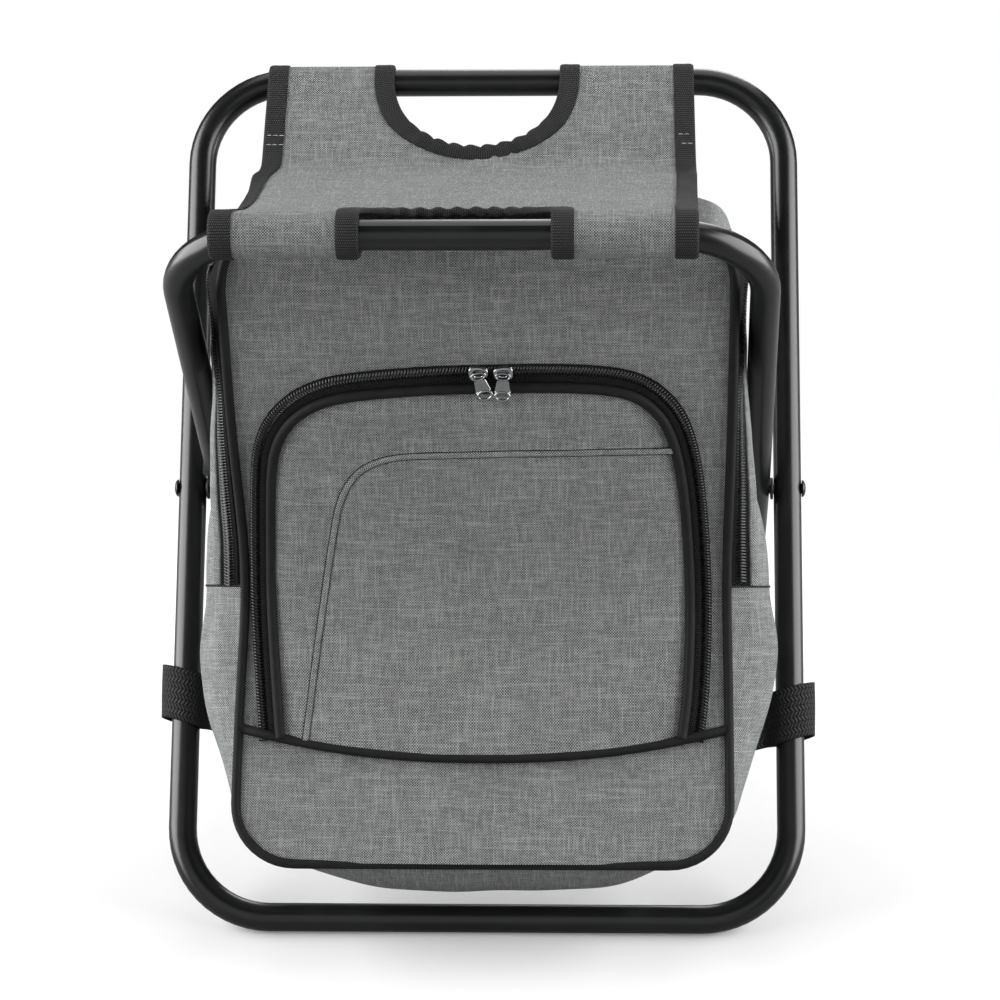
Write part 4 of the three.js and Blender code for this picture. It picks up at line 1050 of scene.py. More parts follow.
class BagForm:
    """The bag as a drum: a front outline, a back outline and a gusset between them."""

    top_radius = 0.010
    back_chamfer = 0.016
    bottom_sag = 0.019
    top_rise = 0.0008
    side_waves = 0.0011
    top_waves = 0.0004
    bottom_waves = 0.0012
    panel_waves = 0.0007

    def __init__(self, inset=0.0):
        look = bpy.context.scene.stool_bag
        self.inset = inset
        half = look.half_width - inset
        foot_radius = max(0.01, look.foot_radius - inset)
        table = np.linspace(0, 1, 400)
        run = lengths(spline(FRONT_POINTS, table))

        def stage_at(far):
            return float(np.interp(far, run, table)) * STAGES

        rows = []
        for angle in np.linspace(0, np.pi / 2, 12):
            stage = stage_at(inset + foot_radius * (1 - math.cos(angle)))
            rows.append((stage, half - foot_radius * (1 - math.sin(angle)), 0.0))
        low = np.linspace(stage_at(inset + foot_radius), HINGE_STAGE, 30)[1:]
        high = np.linspace(HINGE_STAGE, STAGES - 0.5 * inset / 0.06, 46)[1:]
        rows += [(s, half, 0.0) for s in low]
        self.hinge_row = len(rows) - 1
        rows += [(s, half, 0.0) for s in high]
        for angle in np.linspace(0, np.pi / 2, 10)[1:]:
            rows.append((high[-1], half - self.top_radius * (1 - math.cos(angle)), math.sin(angle)))
        self.stage, self.x, self.lift = np.array(rows).T
        self.all = np.arange(len(rows))
        self.lower, self.upper = self.all[:self.hinge_row + 1], self.all[self.hinge_row:]
        share, lift = self.stage / STAGES, self.lift[:, None]
        front, back = spline(FRONT_POINTS, share), spline(BACK_POINTS, share)
        inward = unit(back - front)
        down = np.array([0.0, -1.0]) * inset
        self.front = front + inward * inset + lift * (FRONT_TOP_EDGE + down - front)
        self.back = back - inward * inset + lift * (BACK_TOP_EDGE + down - back)
        self.bulge = {sign: spline(swell, share) * (1 - self.lift) for sign, swell in SIDE_BULGE.items()}
        self.waist = np.exp(-((self.stage - 2.2) / 0.9) ** 2)

    def zip_share(self, offset):
        """Shares of the depth along the main zip, or beside it, for each side and row."""
        share = np.clip((self.stage - HINGE_STAGE) / (STAGES - HINGE_STAGE), 0, 1)
        top = (ZIP_TOP_Y + offset - self.front[:, 0]) / (self.back[:, 0] - self.front[:, 0])
        d = np.linspace(0, 0.6, 121)
        found = {}
        for sign, low in ZIP_LOW.items():
            runs = [lengths(self.side(sign, np.full(len(d), row), d)) for row in self.all]
            distance = np.maximum(low + (ZIP_HIGH - low) * share ** 6 + offset, 0)
            plain = np.array([np.interp(far, run, d) for far, run in zip(distance, runs)])
            found[sign] = plain + (top - plain) * self.lift
        return found

    def shares(self, d):
        """A share of the depth for each side and row."""
        return d if isinstance(d, dict) else {sign: np.full(len(self.all), float(d)) for sign in (-1, 1)}

    def across(self, row, d):
        """Points from the front outline to the back outline, in the side view."""
        return self.front[row] + (self.back[row] - self.front[row]) * np.asarray(d)[..., None]

    def narrow(self, d):
        return self.back_chamfer * smooth(0.70, 1.0, d)

    def side(self, sign, row, d):
        """Points on a side of the gusset, by row and by share of its depth."""
        yz = self.across(row, d)
        high = smooth(2.4, 3.4, self.stage[row])
        shape = (1 - high) * np.interp(d, *LOW_SIDE) + high * np.interp(d, *HIGH_SIDE)
        swell = self.bulge[sign][row] * shape - WAIST[sign] * self.waist[row]
        x = sign * (self.x[row] + swell - self.narrow(d))
        soft = smooth(0, 0.12, d) * smooth(0, 0.12, 1 - d)
        x = x + sign * soft * self.side_waves * ripple(yz[..., 0], yz[..., 1], 0.028, 2.0 + sign)
        return in_space(x, raised(yz, self.lift[row] * self.top_rise * np.sin(np.pi * d)))

    def top(self, x, d):
        """Points on the top of the gusset."""
        yz = self.across(-1, d)
        rise = self.top_rise * np.sin(np.pi * d) + self.top_waves * ripple(x, yz[..., 0], 0.03, 5.0)
        return in_space(x * (1 - self.narrow(d) / self.x[-1]), raised(yz, rise))

    def bottom(self, x, d):
        """Points on the sagging bottom of the gusset."""
        yz = self.across(0, d)
        across = self.back[0] - self.front[0]
        down = unit(np.array([across[1], -across[0]]))
        ends = np.clip(1 - (x / self.x[0]) ** 4, 0, 1)
        sag = (self.bottom_sag - 0.6 * self.inset) * np.sin(np.pi * d) ** 0.75 * (0.15 + 0.85 * ends)
        sag = sag + self.bottom_waves * np.sin(np.pi * d) * ripple(x, yz[..., 0], 0.026, 3.0)
        return in_space(x * (1 - self.narrow(d) / self.x[0]), yz + sag[..., None] * down)

    def loop(self, d, rows=None):
        """Points up the left, over the top and down the right; also under the bag if no rows are given."""
        index = self.all if rows is None else rows
        d = self.shares(d)
        left = self.side(-1, index, d[-1][index])
        right = self.side(1, index[::-1], d[1][index][::-1])
        x = np.linspace(-self.x[-1], self.x[-1], 42)[1:-1]
        pieces = [left, self.top(x, np.full(len(x), d[1][-1])), right]
        if rows is None:
            x = np.linspace(self.x[0], -self.x[0], 42)[1:-1]
            pieces.append(self.bottom(x, np.full(len(x), d[1][0])))
        return np.concatenate(pieces)

    def band(self, d0, d1, steps):
        """A strip of the upper gusset between two shares of its depth."""
        d0, d1 = self.shares(d0), self.shares(d1)
        return np.stack([
            self.loop({k: d0[k] + (d1[k] - d0[k]) * t for k in (-1, 1)}, self.upper)
            for t in np.linspace(0, 1, steps)], axis=1)

    def low_gusset(self):
        """The lower gusset: down the left side, under the bag and up the right side."""
        lines = []
        x = np.linspace(-self.x[0], self.x[0], 56)[1:-1]
        for d in np.linspace(0, 1, 40):
            deep = np.full(len(self.lower), d)
            left, right = self.side(-1, self.lower[::-1], deep), self.side(1, self.lower, deep)
            lines.append(np.concatenate([left, self.bottom(x, np.full(len(x), d)), right]))
        return np.stack(lines, axis=1)

    def panel(self, back=False, rows=None, columns=64, crown=0.005):
        """The front or back panel as rows across the bag."""
        index = self.all if rows is None else rows
        s = np.linspace(-1, 1, columns)
        half = self.x - (self.back_chamfer if back else 0.0)
        inward = unit(self.back - self.front)
        out = inward if back else -inward
        waist = np.where(s < 0, WAIST[-1], WAIST[1])
        x = (half[index][:, None] - waist[None] * self.waist[index][:, None]) * s[None]
        fade = np.sqrt(np.clip(1 - self.lift[index], 0, 1))
        swell = crown * (1 - s[None] ** 2) * (0.35 + 0.65 * fade[:, None])
        yz = np.repeat((self.back if back else self.front)[index][:, None], columns, axis=1)
        soft = (1 - s[None] ** 6) * smooth(0, 6, index)[:, None]
        uneven = self.panel_waves * soft * ripple(x, yz[..., 1], 0.032, 7.0)
        return in_space(x, yz + out[index][:, None] * (swell + uneven)[..., None])

    def zip_line(self, offset, spacing):
        """The main zip's line, or one beside it, at an even spacing, with normals out of the gusset."""
        raw, after, before = (
            self.loop(self.zip_share(offset + step), self.upper) for step in (0.0, 0.002, -0.002))
        normals = unit(np.cross(tangents(raw), after - before))
        normals = normals * np.sign((normals * (raw - BAG_MIDDLE)).sum(axis=1, keepdims=True))
        path = resample(raw, spacing)
        run = lengths(raw)
        return path, unit(read(np.linspace(0, run[-1], len(path)), run, normals))


class STOOL_OT_bag(bpy.types.Operator):
    """Make the bag's cloth panels and gussets"""

    bl_idname = "stool.bag"
    bl_label = "Bag cloth"

    # Distances from the main zip's line, to the front below zero: both edges of the tape on the
    # lid's rim, and the edge of the gusset
    tape_edges = (-0.0410, -0.0042)
    gusset_edge = 0.0062

    def execute(self, context):
        cloth = melange_cloth()
        form = BagForm()
        front, rear = (form.zip_share(edge) for edge in self.tape_edges)
        gusset = form.band(form.zip_share(self.gusset_edge), 1.0, 40)
        for name, grid, material, slot, body, nodes in (
                ("front_cloth", form.panel(), cloth, "grey_cloth", "fold", ["lid_panel"]),
                ("lid_rim_tape", form.band(front, rear, 8), zip_tape(), "black_tape", "fold", []),
                ("lid_rim_cloth", form.band(0.0, front, 8), cloth, "grey_cloth", "fold", []),
                ("gusset_cloth", gusset, cloth, "grey_cloth", "outer_frame", ["bag_shell"]),
                ("low_gusset_cloth", form.low_gusset(), cloth, "grey_cloth", "fold", []),
                ("back_cloth", form.panel(True, crown=0.004), cloth, "grey_cloth", "outer_frame", [])):
            piece = grid_piece(name, grid, material, flip=facing(grid, grid - BAG_MIDDLE))
            settle(piece, slot, body, *nodes)
        return {"FINISHED"}


class STOOL_OT_liner(bpy.types.Operator):
    """Make the foil liner and the bound mouth of the bag and the lid"""

    bl_idname = "stool.liner"
    bl_label = "Foil liner"

    foam = 0.0062
    foil_edge = 0.0020
    mouth_edge = 0.0040
    tape_thickness = 0.0006

    def execute(self, context):
        outer, form = BagForm(), BagForm(self.foam)
        self.lining("bag_foil", "bag_liner", "outer_frame", [
            form.band(form.zip_share(self.foil_edge), 1.0, 24),
            form.low_gusset(),
            form.panel(True, columns=40, crown=0.0),
            form.panel(False, form.lower, 40, 0.0),
        ])
        self.lining("lid_foil", "lid_liner", "lid", [
            form.band(0.004, form.zip_share(-self.foil_edge), 6),
            form.panel(False, form.upper, 40, 0.0),
        ])
        for name, side, body in (("lid_mouth_tape", -1, "lid"), ("bag_mouth_tape", 1, "outer_frame")):
            rim = outer.loop(outer.zip_share(side * self.mouth_edge), outer.upper)
            edge = form.loop(form.zip_share(side * self.foil_edge), form.upper)
            grid = np.stack([rim + (edge - rim) * t for t in np.linspace(0.02, 1, 5)], axis=1)
            piece = grid_piece(name, grid, ribbed_tape())
            thicken(piece, self.tape_thickness)
            settle(piece, "black_tape", body)
        return {"FINISHED"}

    @staticmethod
    def lining(name, node, body, grids):
        parts = [part_of(grid, grid_uv(grid), not facing(grid, grid - BAG_MIDDLE)) for grid in grids]
        settle(joined(name, parts, crinkled_foil()), "foil", body, node)


class STOOL_OT_piping(bpy.types.Operator):
    """Make the covered cord round the front panel"""

    bl_idname = "stool.piping"
    bl_label = "Piping"

    middle = np.array([0.0, 0.12, 0.22])
    stand_out = 0.0006
    stand_forward = 0.0004

    def execute(self, context):
        path = BagForm().loop(0.0)
        path = path + unit(path - self.middle) * self.stand_out
        path[:, 1] -= self.stand_forward
        section = round_section(context.scene.stool_bag.piping_diameter / 2)
        piece = joined("front_piping", [rod(path, [0.0, -1.0, 0.0], section, True)], covered_cord())
        settle(piece, "black_tape", "fold", "front_piping_lower", "front_piping_upper")
        return {"FINISHED"}


# Zips

TOOTH_SHAPE = np.array([(0.0020, 0.0003), (0.0017, 0.0010), (0.0006, 0.0014), (-0.0005, 0.0008)])
TOOTH_SLANT = np.array([0.00040, 0.00030, -0.0002, -0.0004])
TOOTH_RADIUS = 0.00055


def zip_teeth(path, normals, side, pitch, shift, size=1.0):
    """Half of a coil: a bent loop per tooth, from the tape to the middle of the zip."""
    place = lengths(path)
    along = tangents(path)
    out = squared(normals, along)
    across = np.cross(out, along) * side
    shape = TOOTH_SHAPE * [size, 1.0]
    parts = []
    for stop in np.arange(pitch * (0.5 + shift), place[-1] - pitch, pitch):
        middle, way, up, sideways = (read(stop, place, a) for a in (path, along, out, across))
        line = middle + sideways * shape[:, :1] + up * shape[:, 1:] + way * TOOTH_SLANT[:, None]
        parts.append(rod(line, way, round_section(TOOTH_RADIUS, 5)))
    return parts


class STOOL_OT_main_zip(bpy.types.Operator):
    """Make the main zip's tapes and coils, and the gusset's folded edge, stitches and seams"""

    bl_idname = "stool.main_zip"
    bl_label = "Main zip"

    tape_profile = np.array([
        (0.0003, -0.0006), (0.0004, 0.0002), (0.0020, 0.0003), (0.0056, 0.0004),
        (0.0066, 0.0003), (0.0067, -0.0006)])
    fold_profile = np.array([
        (0.0057, -0.0006), (0.0055, 0.0004), (0.0058, 0.0010), (0.0068, 0.0012),
        (0.0090, 0.0011), (0.0108, 0.0009), (0.0120, 0.0002)])
    seam_profile = np.array([(-0.0007, -0.0003), (-0.0005, 0.0005), (0.0005, 0.0005), (0.0007, -0.0003)])
    coil_size = 1.5
    stitch_line = 0.0092
    stitch_step = 0.0013
    stitch_heights = (0.0009, 0.0013, 0.0009)

    def execute(self, context):
        pitch = context.scene.stool_bag.tooth_pitch
        form = BagForm()
        path, normals = form.zip_line(0.0, 0.004)
        behind = np.sign(np.cross(normals, tangents(path))[:, 1].sum())
        for name, side, body, shift in (("lid", -1.0, "fold", 0.5), ("bag", 1.0, "outer_frame", 0.0)):
            way = side * behind
            tape = joined(
                f"{name}_zip_tape", [strip(path, normals, self.tape_profile * [way, 1.0])], zip_tape())
            settle(tape, "black_tape", body, f"main_zip_{name}_tape")
            teeth = zip_teeth(path, normals, way, pitch, shift, self.coil_size)
            settle(joined(f"{name}_zip_coil", teeth, coil_nylon()), "black_tape", body)
        fold = strip(path, normals, self.fold_profile * [behind, 1.0])
        settle(joined("gusset_fold", [fold], melange_cloth()), "grey_cloth", "outer_frame")
        self.edge_stitches(form)
        self.cross_seams(form)
        return {"FINISHED"}

    def edge_stitches(self, form):
        """A row of stitches on the gusset, just behind the zip."""
        path, normals = form.zip_line(self.stitch_line, self.stitch_step)
        path = path + normals * np.resize(self.stitch_heights, len(path))[:, None]
        parts = [stitch(path[i:i + 3], 0.00022) for i in range(0, len(path) - 3, 3)]
        piece = joined("gusset_stitches", parts, sewing_thread("grey_thread", 0.3))
        settle(piece, "grey_cloth", "outer_frame")

    def cross_seams(self, form):
        """The seam across each side, where the zip ends."""
        parts = []
        d = np.linspace(0.0, 0.8, 40)
        row = np.full(len(d), form.hinge_row)
        for sign in (-1, 1):
            path = form.side(sign, row, d)
            rise = form.side(sign, row + 2, d) - form.side(sign, row - 2, d)
            normals = unit(np.cross(tangents(path), rise))
            parts.append(strip(path, normals * np.sign(normals[:, :1] * sign), self.seam_profile))
        settle(joined("gusset_seams", parts, ribbed_tape()), "black_tape", "outer_frame")


# Front pocket

POCKET_EDGE = np.array([
    (-0.1219, 0.1140), (-0.1255, 0.1500), (-0.1274, 0.1870), (-0.1262, 0.2331), (-0.1236, 0.2682),
    (-0.1160, 0.2892), (-0.1029, 0.3040), (-0.0893, 0.3118), (-0.0732, 0.3165), (-0.0308, 0.3212),
    (0.0060, 0.3226), (0.0430, 0.3228), (0.0720, 0.3205), (0.0903, 0.3145), (0.1055, 0.3000),
    (0.1144, 0.2803), (0.1208, 0.2447), (0.1246, 0.1876), (0.1235, 0.1400), (0.1200, 0.1140),
])
POCKET_SEAM = np.array([
    (-0.0962, 0.1135), (-0.0896, 0.1624), (-0.0825, 0.2102), (-0.0773, 0.2388), (-0.0732, 0.2502),
    (-0.0647, 0.2622), (-0.0538, 0.2677), (-0.0429, 0.2701), (0.0106, 0.2719), (0.0640, 0.2725),
    (0.1030, 0.2725),
])


class FrontFace:
    """The bag's front as a height field over the front view."""

    crown = 0.0052
    nudge = 0.001

    def __init__(self):
        self.half = bpy.context.scene.stool_bag.half_width
        self.line = spline(FRONT_POINTS, np.linspace(0, 1, 500))

    def y(self, x, z):
        base = np.interp(z, self.line[:, 1], self.line[:, 0])
        return base - self.crown * (1 - np.clip(x / self.half, -1, 1) ** 2)

    def normal(self, x, z):
        e = self.nudge
        dx = (self.y(x + e, z) - self.y(x - e, z)) / (2 * e)
        dz = (self.y(x, z + e) - self.y(x, z - e)) / (2 * e)
        return unit(np.stack([dx, -np.ones_like(dx), dz], axis=-1))

    def spot(self, x, z, out):
        base = np.stack([x, self.y(x, z), z], axis=-1)
        return base + self.normal(x, z) * np.broadcast_to(out, x.shape)[..., None]

    def along(self, line, out):
        """A line of the front view laid on the bag at a height, with its normals."""
        return self.spot(*line.T, out), self.normal(*line.T)


def pocket_arch(inset, spacing=0.003):
    """The pocket's U outline in the front view, set in by a distance, from left foot to right foot."""
    line = eased(resample(spline(POCKET_EDGE, np.linspace(0, 1, 300)), 0.002), 30)
    way = tangents(line)
    return resample(line + inset * np.stack([way[:, 1], -way[:, 0]], axis=1), spacing)


class STOOL_OT_pocket(bpy.types.Operator):
    """Make the front pocket, its bound edge, its zip and its foot piping"""

    bl_idname = "stool.pocket"
    bl_label = "Front pocket"

    tape_profile = np.array([
        (-0.0030, -0.0004), (-0.0028, 0.0006), (-0.0020, 0.0008), (0.0, 0.0009), (0.0022, 0.0010),
        (0.0031, 0.0022), (0.0052, 0.0027), (0.0075, 0.0028), (0.0083, 0.0005)])
    welt_profile = np.array([
        (-0.0019, -0.0005), (-0.0016, 0.0002), (-0.0010, 0.0004), (0.0, 0.00045),
        (0.0010, 0.0004), (0.0016, 0.0002), (0.0019, -0.0005)])
    panel_inset = 0.0120
    zip_inset = 0.0028
    tape_height = 0.0006
    coil_height = 0.0014
    binding_height = 0.0044
    binding_radius = 0.0028
    foot_radius = 0.0027
    foot_half = 0.1325
    foot_low = 0.1082
    foot_rise = 0.0118
    foot_reach = 0.1335
    stand_off = 0.0050
    belly = 0.0016
    edge_drop = 0.0022
    waves = 0.0005

    def execute(self, context):
        face = FrontFace()
        self.panel(face)
        self.zip_band(face, context.scene.stool_bag.tooth_pitch)
        path, normals = face.along(pocket_arch(self.panel_inset), self.binding_height)
        binding = rod(path, normals, round_section(self.binding_radius) * np.array([1.0, 0.92]))
        settle(joined("pocket_binding", [binding], covered_cord()), "black_tape", "fold")
        self.foot(face)
        self.seam(face)
        return {"FINISHED"}

    def height(self, x, z, inset):
        """How far the padded panel stands off the bag."""
        body = self.stand_off + self.belly * np.sin(np.clip((z - 0.115) / 0.2, 0, 1) * np.pi)
        edge = self.edge_drop * (1 - smooth(0.0, 0.012, inset))
        return body - edge + self.waves * ripple(x, z, 0.03, 8.0)

    def foot_line(self, x):
        return self.foot_low + self.foot_rise * (np.abs(x) / self.foot_reach) ** 2.3

    def panel(self, face):
        """The padded panel, as lines from its foot up to its arch."""
        arch = pocket_arch(self.panel_inset, 0.0035)
        share = (lengths(arch) / lengths(arch)[-1])[None]
        foot_x = arch[0, 0] + (arch[-1, 0] - arch[0, 0]) * share
        foot_z = self.foot_line(foot_x) - 0.0005
        t = np.linspace(0, 1, 46)[:, None] ** 0.85
        x = foot_x + (arch[None, :, 0] - foot_x) * t
        z = foot_z + (arch[None, :, 1] - foot_z) * t
        gaps = np.hypot(x[..., None] - arch[:, 0], z[..., None] - arch[:, 1])
        grid = face.spot(x, z, self.height(x, z, gaps.min(axis=-1)))
        flip = facing(grid, [0.0, -1.0, 0.0])
        piece = grid_piece("pocket_cloth", grid, melange_cloth(), np.stack([x, z], axis=-1), flip)
        settle(piece, "grey_cloth", "fold", "pocket_panel_lower", "pocket_panel_upper")

    def zip_band(self, face, pitch):
        """The zip's tape and both halves of its coil, round the arch."""
        arch = pocket_arch(self.zip_inset)
        path, normals = face.along(arch, self.tape_height)
        inward = -np.sign(np.cross(normals, tangents(path))[len(path) // 2, 2])
        tape = joined(
            "pocket_zip_tape", [strip(path, normals, self.tape_profile * [inward, 1.0])], zip_tape())
        settle(
            tape, "black_tape", "fold",
            "pocket_zip_upper", "pocket_zip_lower_left", "pocket_zip_lower_right")
        path, normals = face.along(arch, self.coil_height)
        teeth = zip_teeth(path, normals, 1.0, pitch, 0.0) + zip_teeth(path, normals, -1.0, pitch, 0.5)
        settle(joined("pocket_zip_coil", teeth, coil_nylon()), "black_tape", "fold")

    def foot(self, face):
        """The cord under the pocket, from one edge of the front panel to the other."""
        x = np.linspace(-self.foot_half, self.foot_half, 70)
        out = 0.0030 - 0.0022 * smooth(0.118, self.foot_half, np.abs(x))
        path, normals = face.along(np.stack([x, self.foot_line(x)], axis=1), out)
        cord = rod(path, normals, round_section(self.foot_radius))
        piece = joined("pocket_piping", [cord], covered_cord())
        settle(piece, "black_tape", "outer_frame", "pocket_foot_piping")

    def seam(self, face):
        """The topstitched seam that crosses the pocket in a long bend, with a black strip of painted shade
        along each side of its welt.
        """
        line = eased(resample(POCKET_SEAM, 0.004), 3)
        path, normals = face.along(line, self.height(*line.T, np.full(len(line), 0.02)) + 0.0001)
        points, faces, uvs = strip(path, normals, self.welt_profile)
        welt = points, faces, list(np.array(uvs) + [0.31, 0.0])
        settle(joined("pocket_seam", [welt], melange_cloth()), "grey_cloth", "fold")
        # Two thin black strips beside the welt are painted shade in its grooves
        sides = []
        for shift, half in ((-0.0019, 0.00012), (0.0019, 0.00022)):
            low, high = shift - half, shift + half
            groove_shade = np.array([(low, -0.0004), (low, 0.0002), (high, 0.0002), (high, -0.0004)])
            sides.append(strip(path, normals, groove_shade))
        settle(joined("pocket_seam_shade_lines", sides, covered_cord()), "black_tape", "fold")


# Sliders and pulls

# A slider's half length and half width, its bridge, and (height, scale) levels of both outlines
SLIDER_HALF = (0.0054, 0.0040)
BRIDGE_HALF = 0.0026
BRIDGE_FOOT = 0.0026
BRIDGE_RISE = 0.0034
BRIDGE_RADIUS = 0.00062
EYE_HEIGHT = 0.0057
BODY_LEVELS = [
    (0.0002, 0.86), (0.0006, 0.97), (0.0011, 1.0), (0.0013, 0.80), (0.0017, 0.80),
    (0.0019, 1.0), (0.0024, 0.98), (0.0029, 0.88), (0.0031, 0.5), (0.0031, 0.02)]
PLATE_LEVELS = [
    (-0.0004, 0.05), (-0.0005, 0.9), (-0.0003, 0.99), (0.0, 1.0),
    (0.0003, 0.97), (0.0003, 0.86), (0.0002, 0.05)]
PLATE_LEFT = np.array([
    (-0.0024, -0.0017), (-0.0027, -0.0030), (-0.0030, -0.0048), (-0.0034, -0.0072), (-0.0037, -0.0094)])
PLATE_FOOT = np.array([(-0.0022, -0.0099), (0.0, -0.0101), (0.0022, -0.0099)])


def levelled(outline, levels, middle, height):
    """A solid from one outline at several heights, scaled about its middle."""
    rows = []
    for z, scale in levels:
        ring = middle + (outline - middle) * scale
        ring = np.concatenate([ring, np.full((len(ring), 1), z)], axis=1)
        rows.append(np.concatenate([ring, ring[:1]]))
    grid = np.array(rows)
    return part_of(grid, grid_uv(grid), facing(grid, grid - [*middle, height]))


def slider_parts():
    """A slider in its own frame: the zip runs along X and the outside is +Z."""
    angle = np.linspace(0, 2 * np.pi, 28, endpoint=False)
    x, y = (np.copysign(np.abs(side) ** 0.55, side) for side in (np.cos(angle), np.sin(angle)))
    narrow = 1.0 - 0.34 * smooth(0.1, 1.0, -x)
    outline = np.stack([SLIDER_HALF[0] * x, SLIDER_HALF[1] * y * narrow], axis=1)
    body = levelled(outline, BODY_LEVELS, np.zeros(2), BODY_LEVELS[-1][0] / 2)
    arch = np.linspace(0, np.pi, 15)
    rise = BRIDGE_FOOT + BRIDGE_RISE * np.sin(arch) ** 0.7
    bridge = np.stack([-BRIDGE_HALF * np.cos(arch), np.zeros(15), rise], axis=1)
    return [body, rod(bridge, [0.0, 1.0, 0.0], round_section(BRIDGE_RADIUS, 10))]


def pull_parts():
    """A pull in its slider's frame: it hangs along -Y from the bridge and ends in an oval ring."""
    plate = np.concatenate([PLATE_LEFT, PLATE_FOOT, PLATE_LEFT[::-1] * np.array([-1, 1]), [(0.0, -0.0014)]])
    levels = [(EYE_HEIGHT + level, scale) for level, scale in PLATE_LEVELS]
    parts = [levelled(plate, levels, plate.mean(axis=0), EYE_HEIGHT)]
    out = [0.0, 0.0, 1.0]
    for side in (1, -1):
        edge = resample(PLATE_LEFT * np.array([side, 1.0]), 0.0012)
        edge = np.concatenate([edge, np.full((len(edge), 1), EYE_HEIGHT + 0.0001)], axis=1)
        parts.append(rod(edge, out, round_section(0.00055, 8)))
    angle = np.linspace(0, 2 * np.pi, 32, endpoint=False)
    for wide, high, place, thick in ((0.0038, 0.0026, -0.0118, 0.00075), (0.0038, 0.0020, 0.0, 0.0006)):
        ring = np.stack([wide * np.cos(angle), place + high * np.sin(angle), np.full(32, EYE_HEIGHT)], axis=1)
        parts.append(rod(ring, out, round_section(thick, 10), True))
    return parts


class STOOL_OT_sliders(bpy.types.Operator):
    """Make the zip sliders and their pulls"""

    bl_idname = "stool.sliders"
    bl_label = "Sliders and pulls"

    # Each zip's name, its place (y, z) and its turn about X, then the x of its left and its right
    # slider, each with the tilt of its pull
    zips = (
        ("pocket", (0.034462, 0.320), math.pi / 2 + 0.138257,
         (0.0, math.radians(17)), (0.013, math.radians(-2))),
        ("main", (0.083306, 0.380710), -0.071163, (-0.008, 0.0), (0.008, 0.0)),
    )

    def execute(self, context):
        for zip_name, (y, z), turn, left, right in self.zips:
            for side, (x, tilt), half_turn, rise in (
                    ("left", left, math.pi, -0.0003), ("right", right, 0.0, 0.0001)):
                where = Matrix.Translation((x, y, z)) @ Matrix.Rotation(turn, 4, "X")
                lean = Matrix.Translation((0, 0, rise)) @ Matrix.Rotation(tilt, 4, "Z")
                for kind, parts, local in (
                        ("slider", slider_parts(), Matrix.Rotation(half_turn, 4, "Z")),
                        ("pull", pull_parts(), lean)):
                    piece = joined(f"{zip_name}_zip_{kind}_{side}", parts, polished_chrome())
                    piece.data.transform(where @ local)
                    node = f"{zip_name}_{kind}_{side}"
                    settle(piece, "chrome", f"{node}_unit", node)
        return {"FINISHED"}


# Side straps

class STOOL_OT_straps(bpy.types.Operator):
    """Make the webbing straps round the outer loop's uprights"""

    bl_idname = "stool.straps"
    bl_label = "Side straps"

    half_width = 0.015
    thickness = 0.0014
    slope = 0.26
    front_gap = 0.0022
    rear_gap = 0.0018
    crown = 0.0006
    waves = 0.0004
    wrap_angle = 112
    outer_radius = 0.0138
    inner_radius = 0.0095
    side_radius = 0.0102
    bag_end = -0.036

    def execute(self, context):
        along = np.array([math.sin(LEAN), math.cos(LEAN)])
        forward = np.array([-math.cos(LEAN), math.sin(LEAN)])
        up = np.array([0.0, *along])
        x, f = self.wrap_line()
        for side, sign, height in (("left", -1, 0.127), ("right", 1, 0.118)):
            middle = np.array([0.0, FOOT_Z]) + height * along
            drop = self.slope * (x.max() - x)
            line = np.stack([
                sign * (OUTER_WIDTH / 2 + x),
                *(middle[:, None] + forward[:, None] * f - along[:, None] * drop)], axis=1)
            line = resample(line, 0.0016)
            outward = np.cross(tangents(line), up) * -sign
            rows = []
            for w in np.linspace(-self.half_width, self.half_width, 13):
                edge = 1 - 0.25 * (abs(w) / self.half_width) ** 6
                puff = self.waves * np.sin(np.linspace(0, 9, len(line)) + w * 90)
                rows.append(line + up * w + outward * (edge * self.crown + puff)[:, None])
            grid = np.stack(rows, axis=1)
            flip = facing(grid, outward[:, None])
            strap = grid_piece(f"strap_{side}", grid, herringbone_webbing(), flip=flip)
            thicken(strap, self.thickness)
            settle(strap, "black_tape", "outer_frame", f"side_strap_{side}")
        return {"FINISHED"}

    def wrap_line(self):
        """The webbing's path round the tube, as (out from the tube, to the front) values."""
        angle = np.radians(np.linspace(self.wrap_angle, -self.wrap_angle, 40))
        x = np.where(np.cos(angle) > 0, self.outer_radius, self.inner_radius) * np.cos(angle)
        f = self.side_radius * np.sin(angle)
        reach = np.linspace(self.bag_end, x[0], 14)[:-1]
        ease = smooth(-0.016, x[0], reach)
        front = self.front_gap + (f[0] - self.front_gap) * ease
        rear = self.rear_gap + (f[-1] - self.rear_gap) * ease
        return np.concatenate([reach, x, reach[::-1]]), np.concatenate([front, f, rear[::-1]])


# Stage

def looking(place, back, roll=0.0):
    """A matrix at a place, with its own +Z along back, turned by roll."""
    right = unit(np.cross(-back, [0.0, 0.0, 1.0]))
    up = np.cross(right, -back)
    turned_right = math.cos(roll) * right + math.sin(roll) * up
    turned_up = -math.sin(roll) * right + math.cos(roll) * up
    axes = np.stack([turned_right, turned_up, back, place], axis=1)
    return Matrix([*axes.tolist(), [0.0, 0.0, 0.0, 1.0]])


